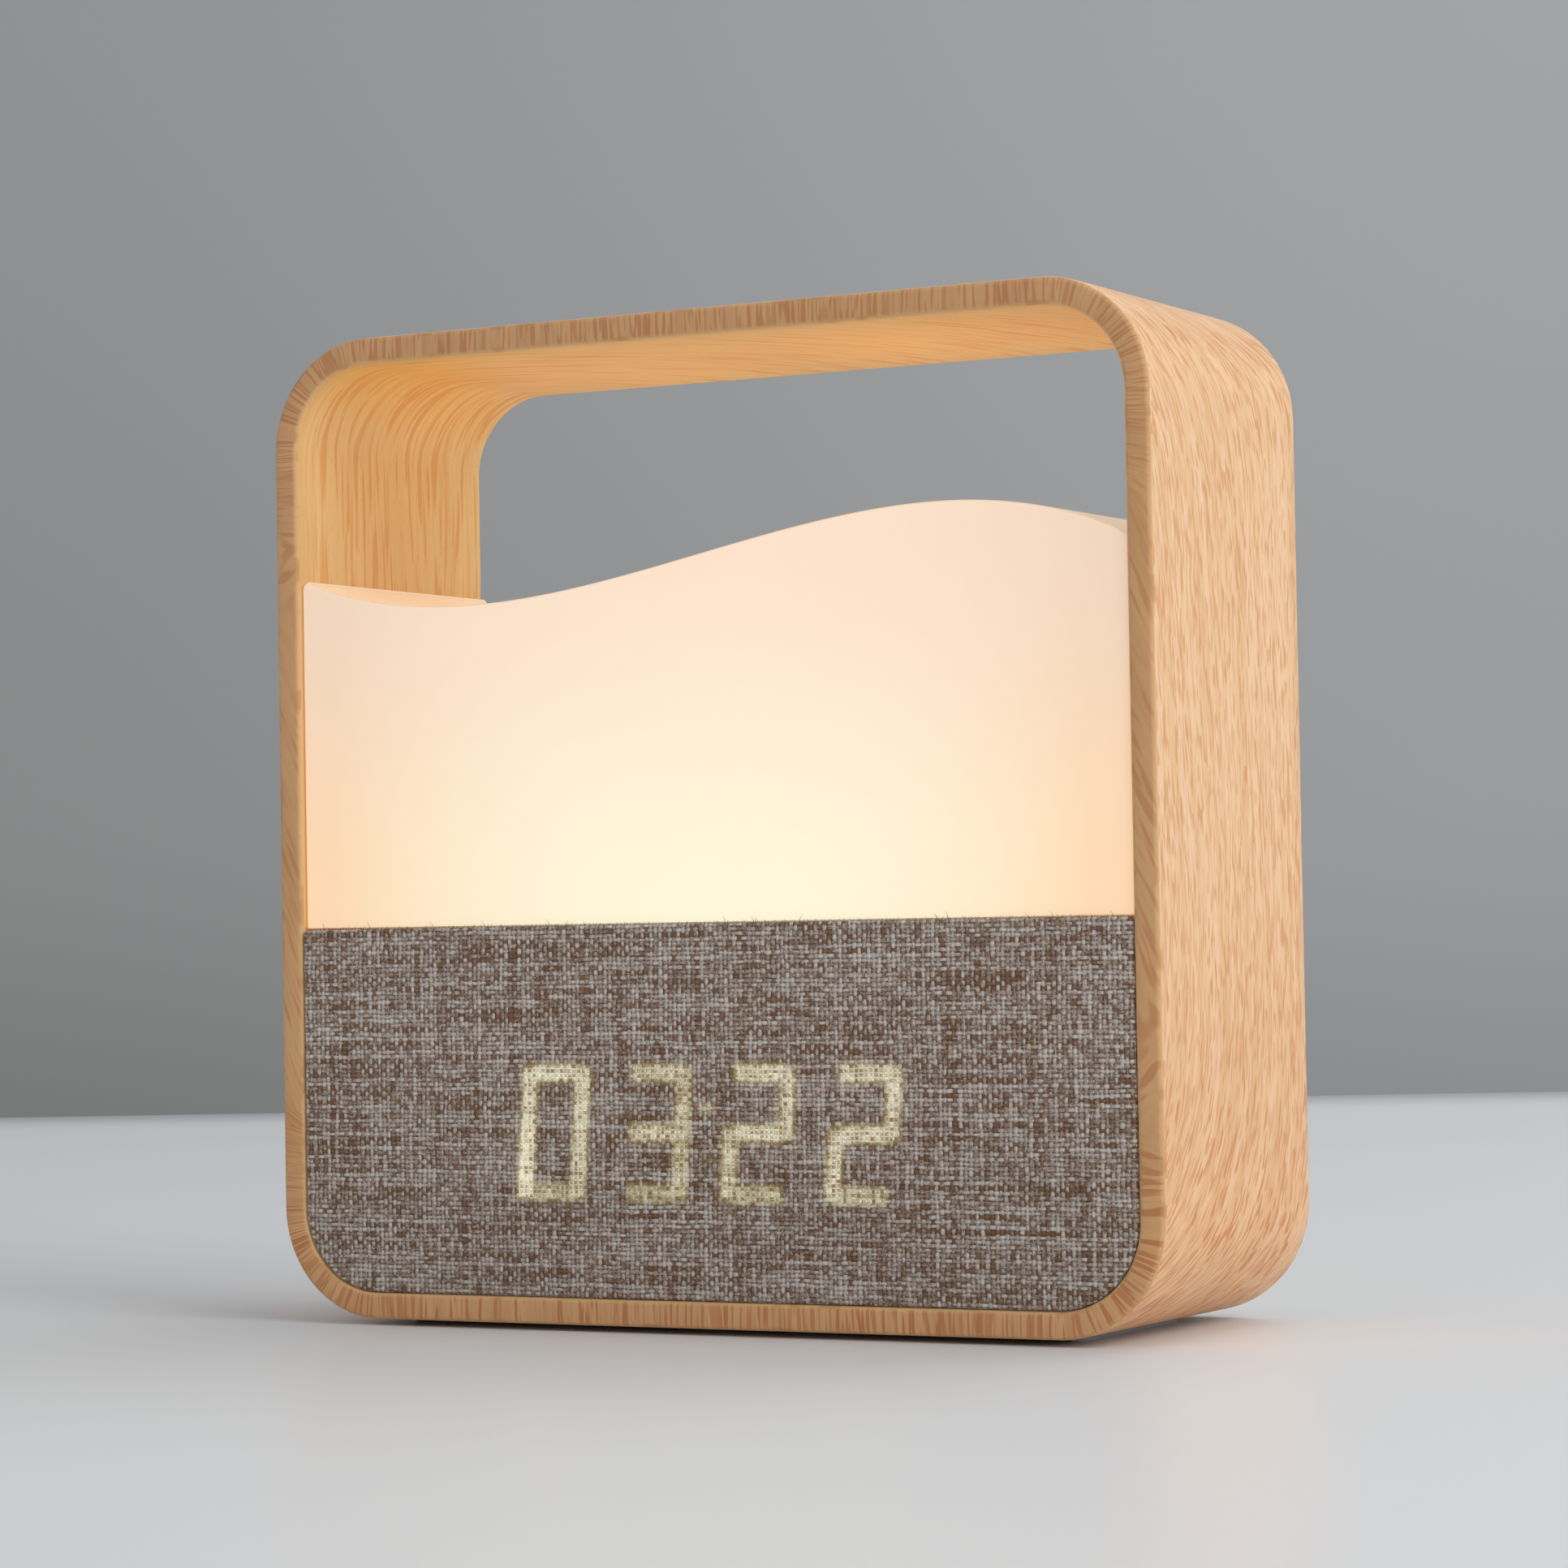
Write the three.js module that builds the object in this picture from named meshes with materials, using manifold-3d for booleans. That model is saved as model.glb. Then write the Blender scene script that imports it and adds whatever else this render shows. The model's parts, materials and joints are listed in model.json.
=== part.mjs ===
// Night light alarm clock, in millimetres.
// A wood-look band stands as frame and carrying handle. Its lower part holds a clock behind cloth,
// and a milky lamp with a wave-shaped top glows above the clock.
// +Z is up, the front faces -Y, and the origin is on the table below the middle of the band.
// Heights are counted from the underside of the band, which the base pad lifts off the table.

import * as THREE from 'three';
import { mergeVertices } from 'three/addons/utils/BufferGeometryUtils.js';
import Module from 'manifold-3d';

const wasm = await Module();
wasm.setup();

// Clearances shared by all pieces
const fit = 0.3; // between pieces that lie together or slide
const threadGap = 0.1; // round the shank of a screw in its pilot hole
const overrun = 1; // how far a cutting shape runs past what it cuts

// How finely round things are drawn
const cornerSteps = 8;
const tightCornerSteps = 2;
const waveSteps = 28;
const roundSides = 20;
const smallSides = 12;
const leadSides = 8;
const leadSteps = 12;

// Wood-look band
const bandWidth = 150;
const bandHeight = 152;
const bandDepth = 54;
const bandWall = 4.1;
const bandCorner = 17;
const bandEdge = 0.8;

// Rubber base pad, which hides the heads of the band screws
const padThickness = 1;
const padSideInset = 0.5; // inside the flat stretch between the band's lower corners
const padSetback = 8; // from the band's front and rear edges
const padCorner = 3;

// Cloth front and the stiff panel that it wraps
const clothTop = 60.2;
const clothRecess = 0.1;
const clothThickness = 0.7;
const clothGap = 0.2; // to the band round it and to the lamp above it
const clothCorner = 0.6;
const panelThickness = 2.4;

// Milky lamp shade: the wave across its top is one Bezier curve
const shadeRecess = 1;
const shadeWall = 2;
const shadeGap = 0.2;
const shadeEdge = 0.5;
const waveEndHeight = 114.6;
const dipHandleReach = 47.6;
const dipHandleDrop = 18.3;
const crestHandleReach = 43.5;
const crestHandleRise = 20.7;
const shadeBossRadius = 3.6;
const shadeBossHeight = 10;

// Inner chassis: a ring that lines the band and carries the lamp on its top plate
const chassisWall = 2;
const dividerThickness = 2.6;
const pillarSize = 10;
const pillarLength = 12;
const fixingInset = 8.5; // of the four corner fixings, from the band's inner side faces
const fixingLow = 13.5;
const fixingBelowTop = 8;
const bandBossRadius = 3.4;
const bandBossHeight = 6;
const leadHoleRadius = 1.6;

// Screws, from head to tip
const headRadius = 2.6;
const headHeight = 1.8;
const shankRadius = 1.4;
const shankLength = 8;
const shortShankLength = 5;
const driveWidth = 0.7;
const driveDepth = 0.9;
const bandScrewInset = 12; // from the pad's ends
const bandScrewSetback = 5; // from the pad's long sides
const boardScrewHeadHeight = 1.4;

// Lamp board with its lights, and the white tray round it
const lampBoardInset = 22.9; // of the board's ends, from the band's inner side faces
const lampBoardDepth = 20;
const boardThickness = 1.6;
const ledCount = 3;
const ledInset = 26; // of the outer lights, from the board's ends
const ledSize = 5;
const ledHeight = 1.6;
const trayThickness = 1.2;
const trayRim = 3;
const trayEndGap = 7; // leaves room for the shade's screw bosses

// Four-digit display
const displayCentreX = 1.35;
const displayCentreZ = 29;
const displayInset = 35.7; // of its ends, from the band's inner side faces, both sides alike
const digitCount = 4;
const digitGap = 5.7; // between neighbouring digits
const digitHeight = 20.5;
const digitStrokeShare = 2.6 / 11.9; // of a digit's width
const digitLean = 1.05; // sideways shift of a digit's top and bottom
const segmentTipGap = 0.35;
const segmentGap = 0.15;
const lensThickness = 1.2;
const lensMargin = 0.9;
const colonSpread = 7.6;
const colonRadius = 0.8;
const colonThickness = 1;
const housingDepth = 7;
const housingFace = 1;
const housingMargin = 1.4;
const housingFlange = 1.2;
const displayBoardMargin = 7;
const displayBossRadius = 2.6;
const displayBossInset = 10; // from the ends of the display

// Speaker, driven for the alarm, behind slots in the panel
const speakerInset = 19.5; // from the band's inner side face
const speakerRadius = 13.5;
const speakerDepth = 8.2;
const speakerFlange = 1.2;
const speakerRimWidth = 2;
const basketRadius = 7.6;
const basketWall = 0.9;
const coneThickness = 0.5;
const coneDepth = 3.6;
const coilRadius = 3.2;
const magnetRadius = 7.4;
const magnetHeight = 4.2;
const collarWall = 1;
const collarDepth = 3;
const grilleSlotHeight = 1.8;
const grillePitch = 3.6;
const grilleSlotCount = 7;

// Push pegs of the front panel and the rubber cups that grip them
const pegRadius = 1.8;
const pegLength = 8;
const cupWall = 1.2;
const cupLength = 7;

// Rear cover
const coverRecess = 1.5;
const coverThickness = 2.2;
const coverBossRadius = 3;
const coverBossInset = 27; // from the band's inner side faces
const ventCount = 5;
const ventPitch = 4.4;
const ventWidth = 1.8;
const ventHeight = 12;
const ventCentreZ = 20;

// Control board behind the rear cover
const boardSetback = 7.8; // from the inside of the rear cover
const controlInset = 21; // of the board's ends, from the band's inner side faces
const controlLift = 0.6; // above the chassis's screw bosses
const controlHigh = 48;

// Rear push buttons and the switches under them
const buttonCount = 4;
const buttonPitch = 19;
const buttonRowZ = 39;
const buttonRadius = 4.5;
const buttonProud = 1;
const buttonFlangeWidth = 1.4;
const buttonFlangeThickness = 1;
const buttonCrown = 0.4;
const plungerRadius = 1.5;
const buttonTravel = 0.8;
const switchSize = 6;
const switchHeight = 3.5;
const stemRadius = 1.5;
const stemProud = 1.5;

// Alarm on and off slider
const sliderInset = 18.9; // from the control board's end
const sliderZ = 20;
const sliderLength = 4.4;
const sliderHeight = 3.4;
const sliderProud = 0.8;
const sliderTravel = 3;
const sliderFlangeReach = 3.2;
const sliderFlangeThickness = 1;
const sliderStem = 1.6;
const sliderStemReach = 1.4; // into the slot of the switch body
const slideSwitchLength = 10;
const slideSwitchWidth = 5;
const slideSwitchHeight = 4;

// Power inlet
const inletInset = 18.9; // from the control board's end
const inletZ = 19;
const inletWidth = 9;
const inletHeight = 3.3;
const inletWall = 0.35;
const inletFloor = 2.5;
const inletTongue = 0.7;
const inletTongueInset = 1;
const inletSetback = 0.6; // of the inlet's mouth, inside the cover's outer face

// Rechargeable cell in its cradle
const cellRadius = 9.1;
const cellLength = 65;
const cellX = 17;
const cellLift = 1.4; // of the cell above the chassis floor
const cradleWidth = 3;
const cradleInset = 9;
const cradleReach = 6.5; // either side of the cell's middle
const cradleShare = 0.35; // of the cell's height that the cradle wraps

// Leads inside the lower part
const leadRadius = 0.6;
const leadDrop = 4;
const ribbonWidth = 8;
const ribbonThickness = 0.6;

// Places that several pieces share
const innerHalf = bandWidth / 2 - bandWall;
const innerCorner = bandCorner - bandWall;
const clothFront = -bandDepth / 2 + clothRecess;
const panelFront = clothFront + clothThickness;
const panelBack = panelFront + panelThickness;
const panelInset = clothGap + clothThickness + threadGap;
const chassisFront = panelBack + fit;
const coverOuter = bandDepth / 2 - coverRecess;
const coverInner = coverOuter - coverThickness;
const chassisRear = coverInner - fit;
const chassisFloor = bandWall + fit + chassisWall;
const shadeBottom = clothTop + clothGap;
const dividerTop = shadeBottom - fit;
const dividerUnder = dividerTop - dividerThickness;
const shadeHalfDepth = bandDepth / 2 - shadeRecess;
const shadeBossX = innerHalf - chassisWall - headRadius - 2 * fit;
const lampBoardHalf = innerHalf - lampBoardInset;
const ledPitch = 2 * (lampBoardHalf - ledInset) / (ledCount - 1);
const padHalfWidth = bandWidth / 2 - bandCorner - padSideInset;
const padHalfDepth = bandDepth / 2 - padSetback;
const fixingHigh = clothTop - fixingBelowTop;
const fixingX = innerHalf - fixingInset;
const housingFront = panelFront + fit;
const housingBack = housingFront + housingDepth;
const housingHalfWidth = innerHalf - displayInset;
const digitPitch = 2 * housingHalfWidth / digitCount;
const digitWidth = digitPitch - digitGap;
const digitStroke = digitWidth * digitStrokeShare;
const displayBoardFront = housingBack + fit;
const displayBoardBack = displayBoardFront + boardThickness;
const lensHalfWidth = digitWidth / 2 + digitLean + threadGap;
const lensHalfHeight = digitHeight / 2 + lensMargin;
const housingHalfHeight = lensHalfHeight + fit + housingMargin;
const displayLeft = displayCentreX - housingHalfWidth;
const displayRight = displayCentreX + housingHalfWidth;
const displayLow = displayCentreZ - housingHalfHeight;
const displayHigh = displayCentreZ + housingHalfHeight;
const displayBossZ = housingHalfHeight + housingFlange + fit + displayBossRadius;
const cupRadius = pegRadius + threadGap + cupWall;
const speakerX = -(innerHalf - speakerInset);
const speakerZ = (fixingLow + fixingHigh) / 2;
const speakerFront = panelBack + fit;
const controlLow = chassisFloor + bandBossHeight + controlLift;
const controlOuter = coverInner - boardSetback;
const controlInner = controlOuter - boardThickness;
const controlHalfWidth = innerHalf - controlInset;
const sliderX = -(controlHalfWidth - sliderInset);
const inletX = controlHalfWidth - inletInset;
const coverBossX = innerHalf - coverBossInset;
const coverBossZ = (controlLow + controlHigh) / 2;
const flangeOuter = coverInner - fit;
const flangeInner = flangeOuter - buttonFlangeThickness;
const stemTop = controlOuter + switchHeight + stemProud;
const cellZ = chassisFloor + cellLift + cellRadius;
const quarterTurn = Math.PI / 2;
const sides = [-1, 1];
const fixings = sides.flatMap((side) => [[side * fixingX, fixingLow], [side * fixingX, fixingHigh]]);
const bandScrewPlaces = sides.map((side) => [
  side * (padHalfWidth - bandScrewInset),
  side * (padHalfDepth - bandScrewSetback),
]);
const displayBosses = sides.map((side) => [
  displayCentreX + side * (housingHalfWidth - displayBossInset),
  displayCentreZ + side * displayBossZ,
]);
const coverBosses = sides.map((side) => [side * coverBossX, coverBossZ]);

// Surface finishes
const finishes = {
  woodFilm: { color: 0xe5bb92, roughness: 0.5, metalness: 0 },
  milkyPlastic: { color: 0xfff0da, roughness: 0.35, metalness: 0 },
  cloth: { color: 0x7c7066, roughness: 0.95, metalness: 0 },
  blackRubber: { color: 0x2b2c2e, roughness: 0.85, metalness: 0 },
  coverPlastic: { color: 0xe4e0d8, roughness: 0.55, metalness: 0 },
  buttonPlastic: { color: 0xf2efe9, roughness: 0.4, metalness: 0 },
  darkPlastic: { color: 0x3a3836, roughness: 0.6, metalness: 0 },
  whitePlastic: { color: 0xf3f2ee, roughness: 0.5, metalness: 0 },
  segmentPlastic: { color: 0xfff3bf, roughness: 0.4, metalness: 0 },
  greenBoard: { color: 0x2f6b4a, roughness: 0.5, metalness: 0 },
  whiteBoard: { color: 0xeeeeea, roughness: 0.5, metalness: 0 },
  ledResin: { color: 0xffe7a8, roughness: 0.3, metalness: 0 },
  steel: { color: 0xb9bcc0, roughness: 0.35, metalness: 1 },
  paperCone: { color: 0x26262a, roughness: 0.9, metalness: 0 },
  cellWrap: { color: 0x3f7fb8, roughness: 0.35, metalness: 0 },
  leadJacket: { color: 0xb3342c, roughness: 0.5, metalness: 0 },
};

// Solids and meshes

function solidFrom(geometry) {
  geometry.deleteAttribute('normal');
  geometry.deleteAttribute('uv');
  const merged = mergeVertices(geometry);
  return new wasm.Manifold(new wasm.Mesh({
    numProp: 3,
    vertProperties: merged.attributes.position.array,
    triVerts: new Uint32Array(merged.index.array),
  }));
}

function meshFrom(name, solid, finish) {
  const { vertProperties, triVerts } = solid.getMesh();
  const geometry = new THREE.BufferGeometry();
  geometry.setAttribute('position', new THREE.BufferAttribute(vertProperties, 3));
  geometry.setIndex(new THREE.BufferAttribute(triVerts, 1));
  const mesh = new THREE.Mesh(geometry, new THREE.MeshStandardMaterial({ ...finish, flatShading: true }));
  mesh.name = name;
  return mesh;
}

function union(solids) {
  return solids.reduce((sum, solid) => sum.add(solid));
}

function subtractAll(solid, cutters) {
  return cutters.reduce((rest, cutter) => rest.subtract(cutter), solid);
}

function block(x0, x1, y0, y1, z0, z1) {
  const geometry = new THREE.BoxGeometry(x1 - x0, y1 - y0, z1 - z0);
  geometry.translate((x0 + x1) / 2, (y0 + y1) / 2, (z0 + z1) / 2);
  return solidFrom(geometry);
}

// A round rod along Y at the place (x, z)
function rodY(x, z, radius, y0, y1, count = smallSides) {
  const geometry = new THREE.CylinderGeometry(radius, radius, y1 - y0, count);
  geometry.translate(x, (y0 + y1) / 2, z);
  return solidFrom(geometry);
}

// A round rod along Z at the place (x, y)
function rodZ(x, y, radius, z0, z1, count = smallSides) {
  const geometry = new THREE.CylinderGeometry(radius, radius, z1 - z0, count);
  geometry.rotateX(quarterTurn);
  geometry.translate(x, y, (z0 + z1) / 2);
  return solidFrom(geometry);
}

// A profile of (radius, height) points turned round Y at the place (x, z)
function turnedY(x, z, y0, profile, count = roundSides) {
  const points = profile.map(([radius, height]) => new THREE.Vector2(radius, height));
  const geometry = new THREE.LatheGeometry(points, count);
  geometry.translate(x, y0, z);
  return solidFrom(geometry);
}

// Outlines

function arcPoints(x, y, radius, start, steps) {
  return Array.from({ length: steps + 1 }, (_, i) => {
    const angle = start + quarterTurn * i / steps;
    return new THREE.Vector2(x + radius * Math.cos(angle), y + radius * Math.sin(angle));
  });
}

// A rectangle with round lower and upper corners, anticlockwise
function roundedOutline(x0, x1, y0, y1, lower, upper = lower, upperSteps = cornerSteps) {
  return [
    ...arcPoints(x1 - lower, y0 + lower, lower, -quarterTurn, cornerSteps),
    ...arcPoints(x1 - upper, y1 - upper, upper, 0, upperSteps),
    ...arcPoints(x0 + upper, y1 - upper, upper, quarterTurn, upperSteps),
    ...arcPoints(x0 + lower, y0 + lower, lower, 2 * quarterTurn, cornerSteps),
  ];
}

function extruded(points, depth) {
  return new THREE.ExtrudeGeometry(new THREE.Shape(points), { depth, bevelEnabled: false });
}

// An outline drawn in X and Z, extruded from y0 to y1
function alongY(points, y0, y1) {
  const geometry = extruded(points, y1 - y0);
  geometry.rotateX(quarterTurn);
  geometry.translate(0, y1, 0);
  return solidFrom(geometry);
}

// The same with its front and rear edges rounded by the given edge radius
function easedAlongY(shape, y0, y1, edge) {
  const geometry = new THREE.ExtrudeGeometry(shape, {
    depth: y1 - y0 - 2 * edge,
    bevelThickness: edge,
    bevelSize: edge,
    bevelOffset: -edge,
    bevelSegments: 2,
  });
  geometry.rotateX(quarterTurn);
  geometry.translate(0, y1 - edge, 0);
  return solidFrom(geometry);
}

// An outline drawn in X and Y, extruded from z0 to z1
function alongZ(points, z0, z1) {
  const geometry = extruded(points, z1 - z0);
  geometry.translate(0, 0, z0);
  return solidFrom(geometry);
}

// The lower space inside the band, up to a given top, drawn in by an inset
function coreOutline(inset, top) {
  const half = innerHalf - inset;
  const lower = innerCorner - inset;
  return roundedOutline(-half, half, bandWall + inset, top, lower, clothCorner, tightCornerSteps);
}

// The lamp's outline, with the wave on top, drawn in by an inset
function shadeOutline(inset, bottom) {
  const half = innerHalf - shadeGap - inset;
  const end = waveEndHeight - inset;
  const wave = new THREE.CubicBezierCurve(
    new THREE.Vector2(half, end),
    new THREE.Vector2(innerHalf - crestHandleReach, end + crestHandleRise),
    new THREE.Vector2(-innerHalf + dipHandleReach, end - dipHandleDrop),
    new THREE.Vector2(-half, end),
  );
  return [
    new THREE.Vector2(-half, bottom),
    new THREE.Vector2(half, bottom),
    ...wave.getPoints(waveSteps),
  ];
}

// Screws: the head starts at y = 0 and the shank runs to -Y

function screwSolid(shank, head, headRise) {
  const profile = [[0, 0], [head, 0], [head, -headRise], [shankRadius, -headRise],
    [shankRadius, -headRise - shank], [0, -headRise - shank]];
  const body = turnedY(0, 0, 0, profile.reverse(), smallSides);
  const half = driveWidth / 2;
  const reach = head - driveWidth;
  return subtractAll(body, [
    block(-reach, reach, -driveDepth, overrun, -half, half),
    block(-half, half, -driveDepth, overrun, -reach, reach),
  ]);
}

function screwMesh(name, shank, head, headRise) {
  return meshFrom(name, screwSolid(shank, head, headRise), finishes.steel);
}

// Shell of the clock

function woodBand() {
  const half = bandWidth / 2;
  const shape = new THREE.Shape(roundedOutline(-half, half, 0, bandHeight, bandCorner));
  const hand = roundedOutline(-innerHalf, innerHalf, bandWall, bandHeight - bandWall, innerCorner);
  shape.holes.push(new THREE.Path(hand.reverse()));
  const ring = easedAlongY(shape, -bandDepth / 2, bandDepth / 2, bandEdge);
  const holes = bandScrewPlaces.flatMap(([x, y]) => [
    rodZ(x, y, shankRadius + fit, -overrun, bandWall + overrun),
    rodZ(x, y, headRadius + fit, -overrun, headHeight + fit),
  ]);
  return meshFrom('wood_band', subtractAll(ring, holes), finishes.woodFilm);
}

function basePad() {
  const outline = roundedOutline(-padHalfWidth, padHalfWidth, -padHalfDepth, padHalfDepth, padCorner);
  return meshFrom('base_pad', alongZ(outline, 0, padThickness), finishes.blackRubber);
}

function bandScrews() {
  return bandScrewPlaces.map(([x, y], i) => {
    const screw = screwMesh(`band_screw_${i + 1}`, shankLength, headRadius, headHeight);
    screw.rotation.x = -quarterTurn;
    screw.position.set(x, y, fit / 2);
    return screw;
  });
}

// Chassis

function pillar([x, z], y0, y1) {
  const outward = Math.sign(x);
  const inner = x - outward * pillarSize / 2;
  const outer = outward * innerHalf;
  const top = z > clothTop / 2 ? dividerTop : z + pillarSize / 2;
  return block(Math.min(inner, outer), Math.max(inner, outer), y0, y1, z - pillarSize / 2, top);
}

function cradle(x) {
  const wrap = cellZ - cellRadius + 2 * cellRadius * cradleShare;
  const rib = block(x, x + cradleWidth, -cradleReach, cradleReach, chassisFloor - chassisWall / 2, wrap);
  const cell = new THREE.CylinderGeometry(cellRadius + fit, cellRadius + fit, cellLength, roundSides);
  cell.rotateZ(quarterTurn);
  cell.translate(cellX, 0, cellZ);
  return rib.subtract(solidFrom(cell));
}

function chassis() {
  const outer = alongY(coreOutline(fit, dividerTop), chassisFront, chassisRear);
  const room = coreOutline(fit + chassisWall, dividerUnder);
  const ring = outer.subtract(alongY(room, chassisFront - overrun, chassisRear + overrun));
  const pillars = union(fixings.flatMap((place) => [
    pillar(place, chassisFront, chassisFront + pillarLength),
    pillar(place, chassisRear - pillarLength, chassisRear),
  ])).intersect(outer);
  const bosses = bandScrewPlaces.map(([x, y]) => (
    rodZ(x, y, bandBossRadius, chassisFloor - chassisWall / 2, chassisFloor + bandBossHeight)
  ));
  const cradles = [
    cradle(cellX - cellLength / 2 + cradleInset),
    cradle(cellX + cellLength / 2 - cradleInset - cradleWidth),
  ];
  const body = union([ring, pillars, ...bosses, ...cradles]);
  const screwHoles = bandScrewPlaces.map(([x, y]) => (
    rodZ(x, y, shankRadius + threadGap, bandWall, chassisFloor + bandBossHeight + overrun)
  ));
  const cupHoles = fixings.map(([x, z]) => (
    rodY(x, z, cupRadius + threadGap, chassisFront - overrun, panelBack + pegLength + fit)
  ));
  const coverHoles = fixings.map(([x, z]) => (
    rodY(x, z, shankRadius + threadGap, chassisRear - pillarLength + overrun, chassisRear + overrun)
  ));
  const shadeHoles = sides.map((side) => (
    rodZ(side * shadeBossX, 0, shankRadius + fit, dividerUnder - overrun, dividerTop + overrun)
  ));
  const [leadX, leadY] = lampLeadPlace();
  const leadHole = rodZ(leadX, leadY, leadHoleRadius, dividerUnder - overrun, dividerTop + overrun);
  const cuts = [...screwHoles, ...cupHoles, ...coverHoles, ...shadeHoles, leadHole];
  return meshFrom('chassis', subtractAll(body, cuts), finishes.darkPlastic);
}

// Lamp

function lampShade() {
  const outer = easedAlongY(
    new THREE.Shape(shadeOutline(0, shadeBottom)), -shadeHalfDepth, shadeHalfDepth, shadeEdge,
  );
  const depth = shadeHalfDepth - shadeWall;
  const room = alongY(shadeOutline(shadeWall, shadeBottom - overrun), -depth, depth);
  const bossTop = shadeBottom + shadeBossHeight;
  const bosses = sides.map((side) => rodZ(side * shadeBossX, 0, shadeBossRadius, shadeBottom, bossTop));
  const holes = sides.map((side) => (
    rodZ(side * shadeBossX, 0, shankRadius + threadGap, shadeBottom - overrun, bossTop - threadGap - shadeWall)
  ));
  const rim = block(-innerHalf, innerHalf, -bandDepth, bandDepth, shadeBottom - bandHeight, shadeBottom);
  const shade = union([outer.subtract(room), ...bosses]);
  return meshFrom('lamp_shade', subtractAll(shade, [...holes, rim]), finishes.milkyPlastic);
}

function shadeScrews() {
  return sides.map((side, i) => {
    const screw = screwMesh(`shade_screw_${i + 1}`, shankLength, headRadius, headHeight);
    screw.rotation.x = -quarterTurn;
    screw.position.set(side * shadeBossX, 0, dividerUnder - fit - headHeight);
    return screw;
  });
}

function lampBoard() {
  const depth = lampBoardDepth / 2;
  const top = dividerTop + boardThickness;
  const board = block(-lampBoardHalf, lampBoardHalf, -depth, depth, dividerTop, top);
  return meshFrom('lamp_board', board, finishes.whiteBoard);
}

function lampLeds() {
  const low = dividerTop + boardThickness;
  return Array.from({ length: ledCount }, (_, i) => {
    const x = (i - (ledCount - 1) / 2) * ledPitch;
    const led = block(x - ledSize / 2, x + ledSize / 2, -ledSize / 2, ledSize / 2, low, low + ledHeight);
    return meshFrom(`lamp_led_${i + 1}`, led, finishes.ledResin);
  });
}

function reflectorTray() {
  const half = innerHalf - shadeGap - shadeWall - trayEndGap;
  const depth = shadeHalfDepth - shadeWall - fit;
  const front = Math.max(-depth, chassisFront);
  const rear = Math.min(depth, chassisRear);
  const top = dividerTop + trayThickness + trayRim;
  const outer = block(-half, half, front, rear, dividerTop, top);
  const dish = block(
    -half + trayThickness, half - trayThickness, front + trayThickness, rear - trayThickness,
    dividerTop + trayThickness, top + overrun,
  );
  const boardHalf = lampBoardHalf + fit;
  const boardDepth = lampBoardDepth / 2 + fit;
  const window = block(-boardHalf, boardHalf, -boardDepth, boardDepth, dividerTop - overrun, top + overrun);
  return meshFrom('reflector_tray', subtractAll(outer, [dish, window]), finishes.whitePlastic);
}

// Cloth front

function frontCloth() {
  const outer = alongY(coreOutline(clothGap, clothTop), clothFront, panelBack);
  const inset = clothGap + clothThickness;
  const room = alongY(coreOutline(inset, clothTop - clothThickness), panelFront, panelBack + overrun);
  return meshFrom('front_cloth', outer.subtract(room), finishes.cloth);
}

function grilleSlots() {
  return Array.from({ length: grilleSlotCount }, (_, i) => {
    const rise = (i - (grilleSlotCount - 1) / 2) * grillePitch;
    const radius = speakerRadius - speakerRimWidth;
    const half = Math.sqrt(Math.max(radius ** 2 - rise ** 2, grilleSlotHeight ** 2));
    const z = speakerZ + rise;
    return block(
      speakerX - half, speakerX + half, panelFront - overrun, panelBack + overrun,
      z - grilleSlotHeight / 2, z + grilleSlotHeight / 2,
    );
  });
}

function frontPanel() {
  const top = clothTop - clothThickness - threadGap;
  const middle = panelFront + panelThickness / 2;
  const plate = alongY(coreOutline(panelInset, top), panelFront, panelBack);
  const pegs = fixings.map(([x, z]) => rodY(x, z, pegRadius, middle, panelBack + pegLength));
  const bosses = displayBosses.map(([x, z]) => rodY(x, z, displayBossRadius, middle, displayBoardFront - fit));
  const seat = speakerRadius + fit;
  const end = panelBack + collarDepth;
  const collar = rodY(speakerX, speakerZ, seat + collarWall, middle, end, roundSides)
    .subtract(rodY(speakerX, speakerZ, seat, panelBack, end + overrun, roundSides));
  const body = union([plate, ...pegs, ...bosses, collar]);
  const window = block(
    displayLeft - fit, displayRight + fit, panelFront - overrun, panelBack + overrun,
    displayLow - fit, displayHigh + fit,
  );
  const screwHoles = displayBosses.map(([x, z]) => (
    rodY(x, z, shankRadius + threadGap, displayBoardFront - shortShankLength - fit, displayBoardFront)
  ));
  const cuts = [...grilleSlots(), window, ...screwHoles];
  return meshFrom('front_panel', subtractAll(body, cuts), finishes.darkPlastic);
}

function panelCups() {
  return fixings.map(([x, z], i) => {
    const end = chassisFront + cupLength;
    const cup = rodY(x, z, cupRadius, chassisFront, end);
    const bore = rodY(x, z, pegRadius + threadGap, chassisFront - overrun, end + overrun);
    return meshFrom(`panel_cup_${i + 1}`, cup.subtract(bore), finishes.blackRubber);
  });
}

// Display

// One bar of a digit between two of its corners, as a six-sided outline
function segmentOutline(from, to, grow) {
  const along = to.clone().sub(from).normalize();
  const across = new THREE.Vector2(-along.y, along.x);
  const half = digitStroke / 2 + grow;
  const tip = segmentTipGap - grow * Math.SQRT2;
  const point = (base, step, side) => (
    base.clone().addScaledVector(along, step).addScaledVector(across, side)
  );
  return [
    point(from, tip, 0), point(from, tip + half, -half), point(to, -tip - half, -half),
    point(to, -tip, 0), point(to, -tip - half, half), point(from, tip + half, half),
  ];
}

function digitCentre(index) {
  return displayCentreX + (index - (digitCount - 1) / 2) * digitPitch;
}

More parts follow.
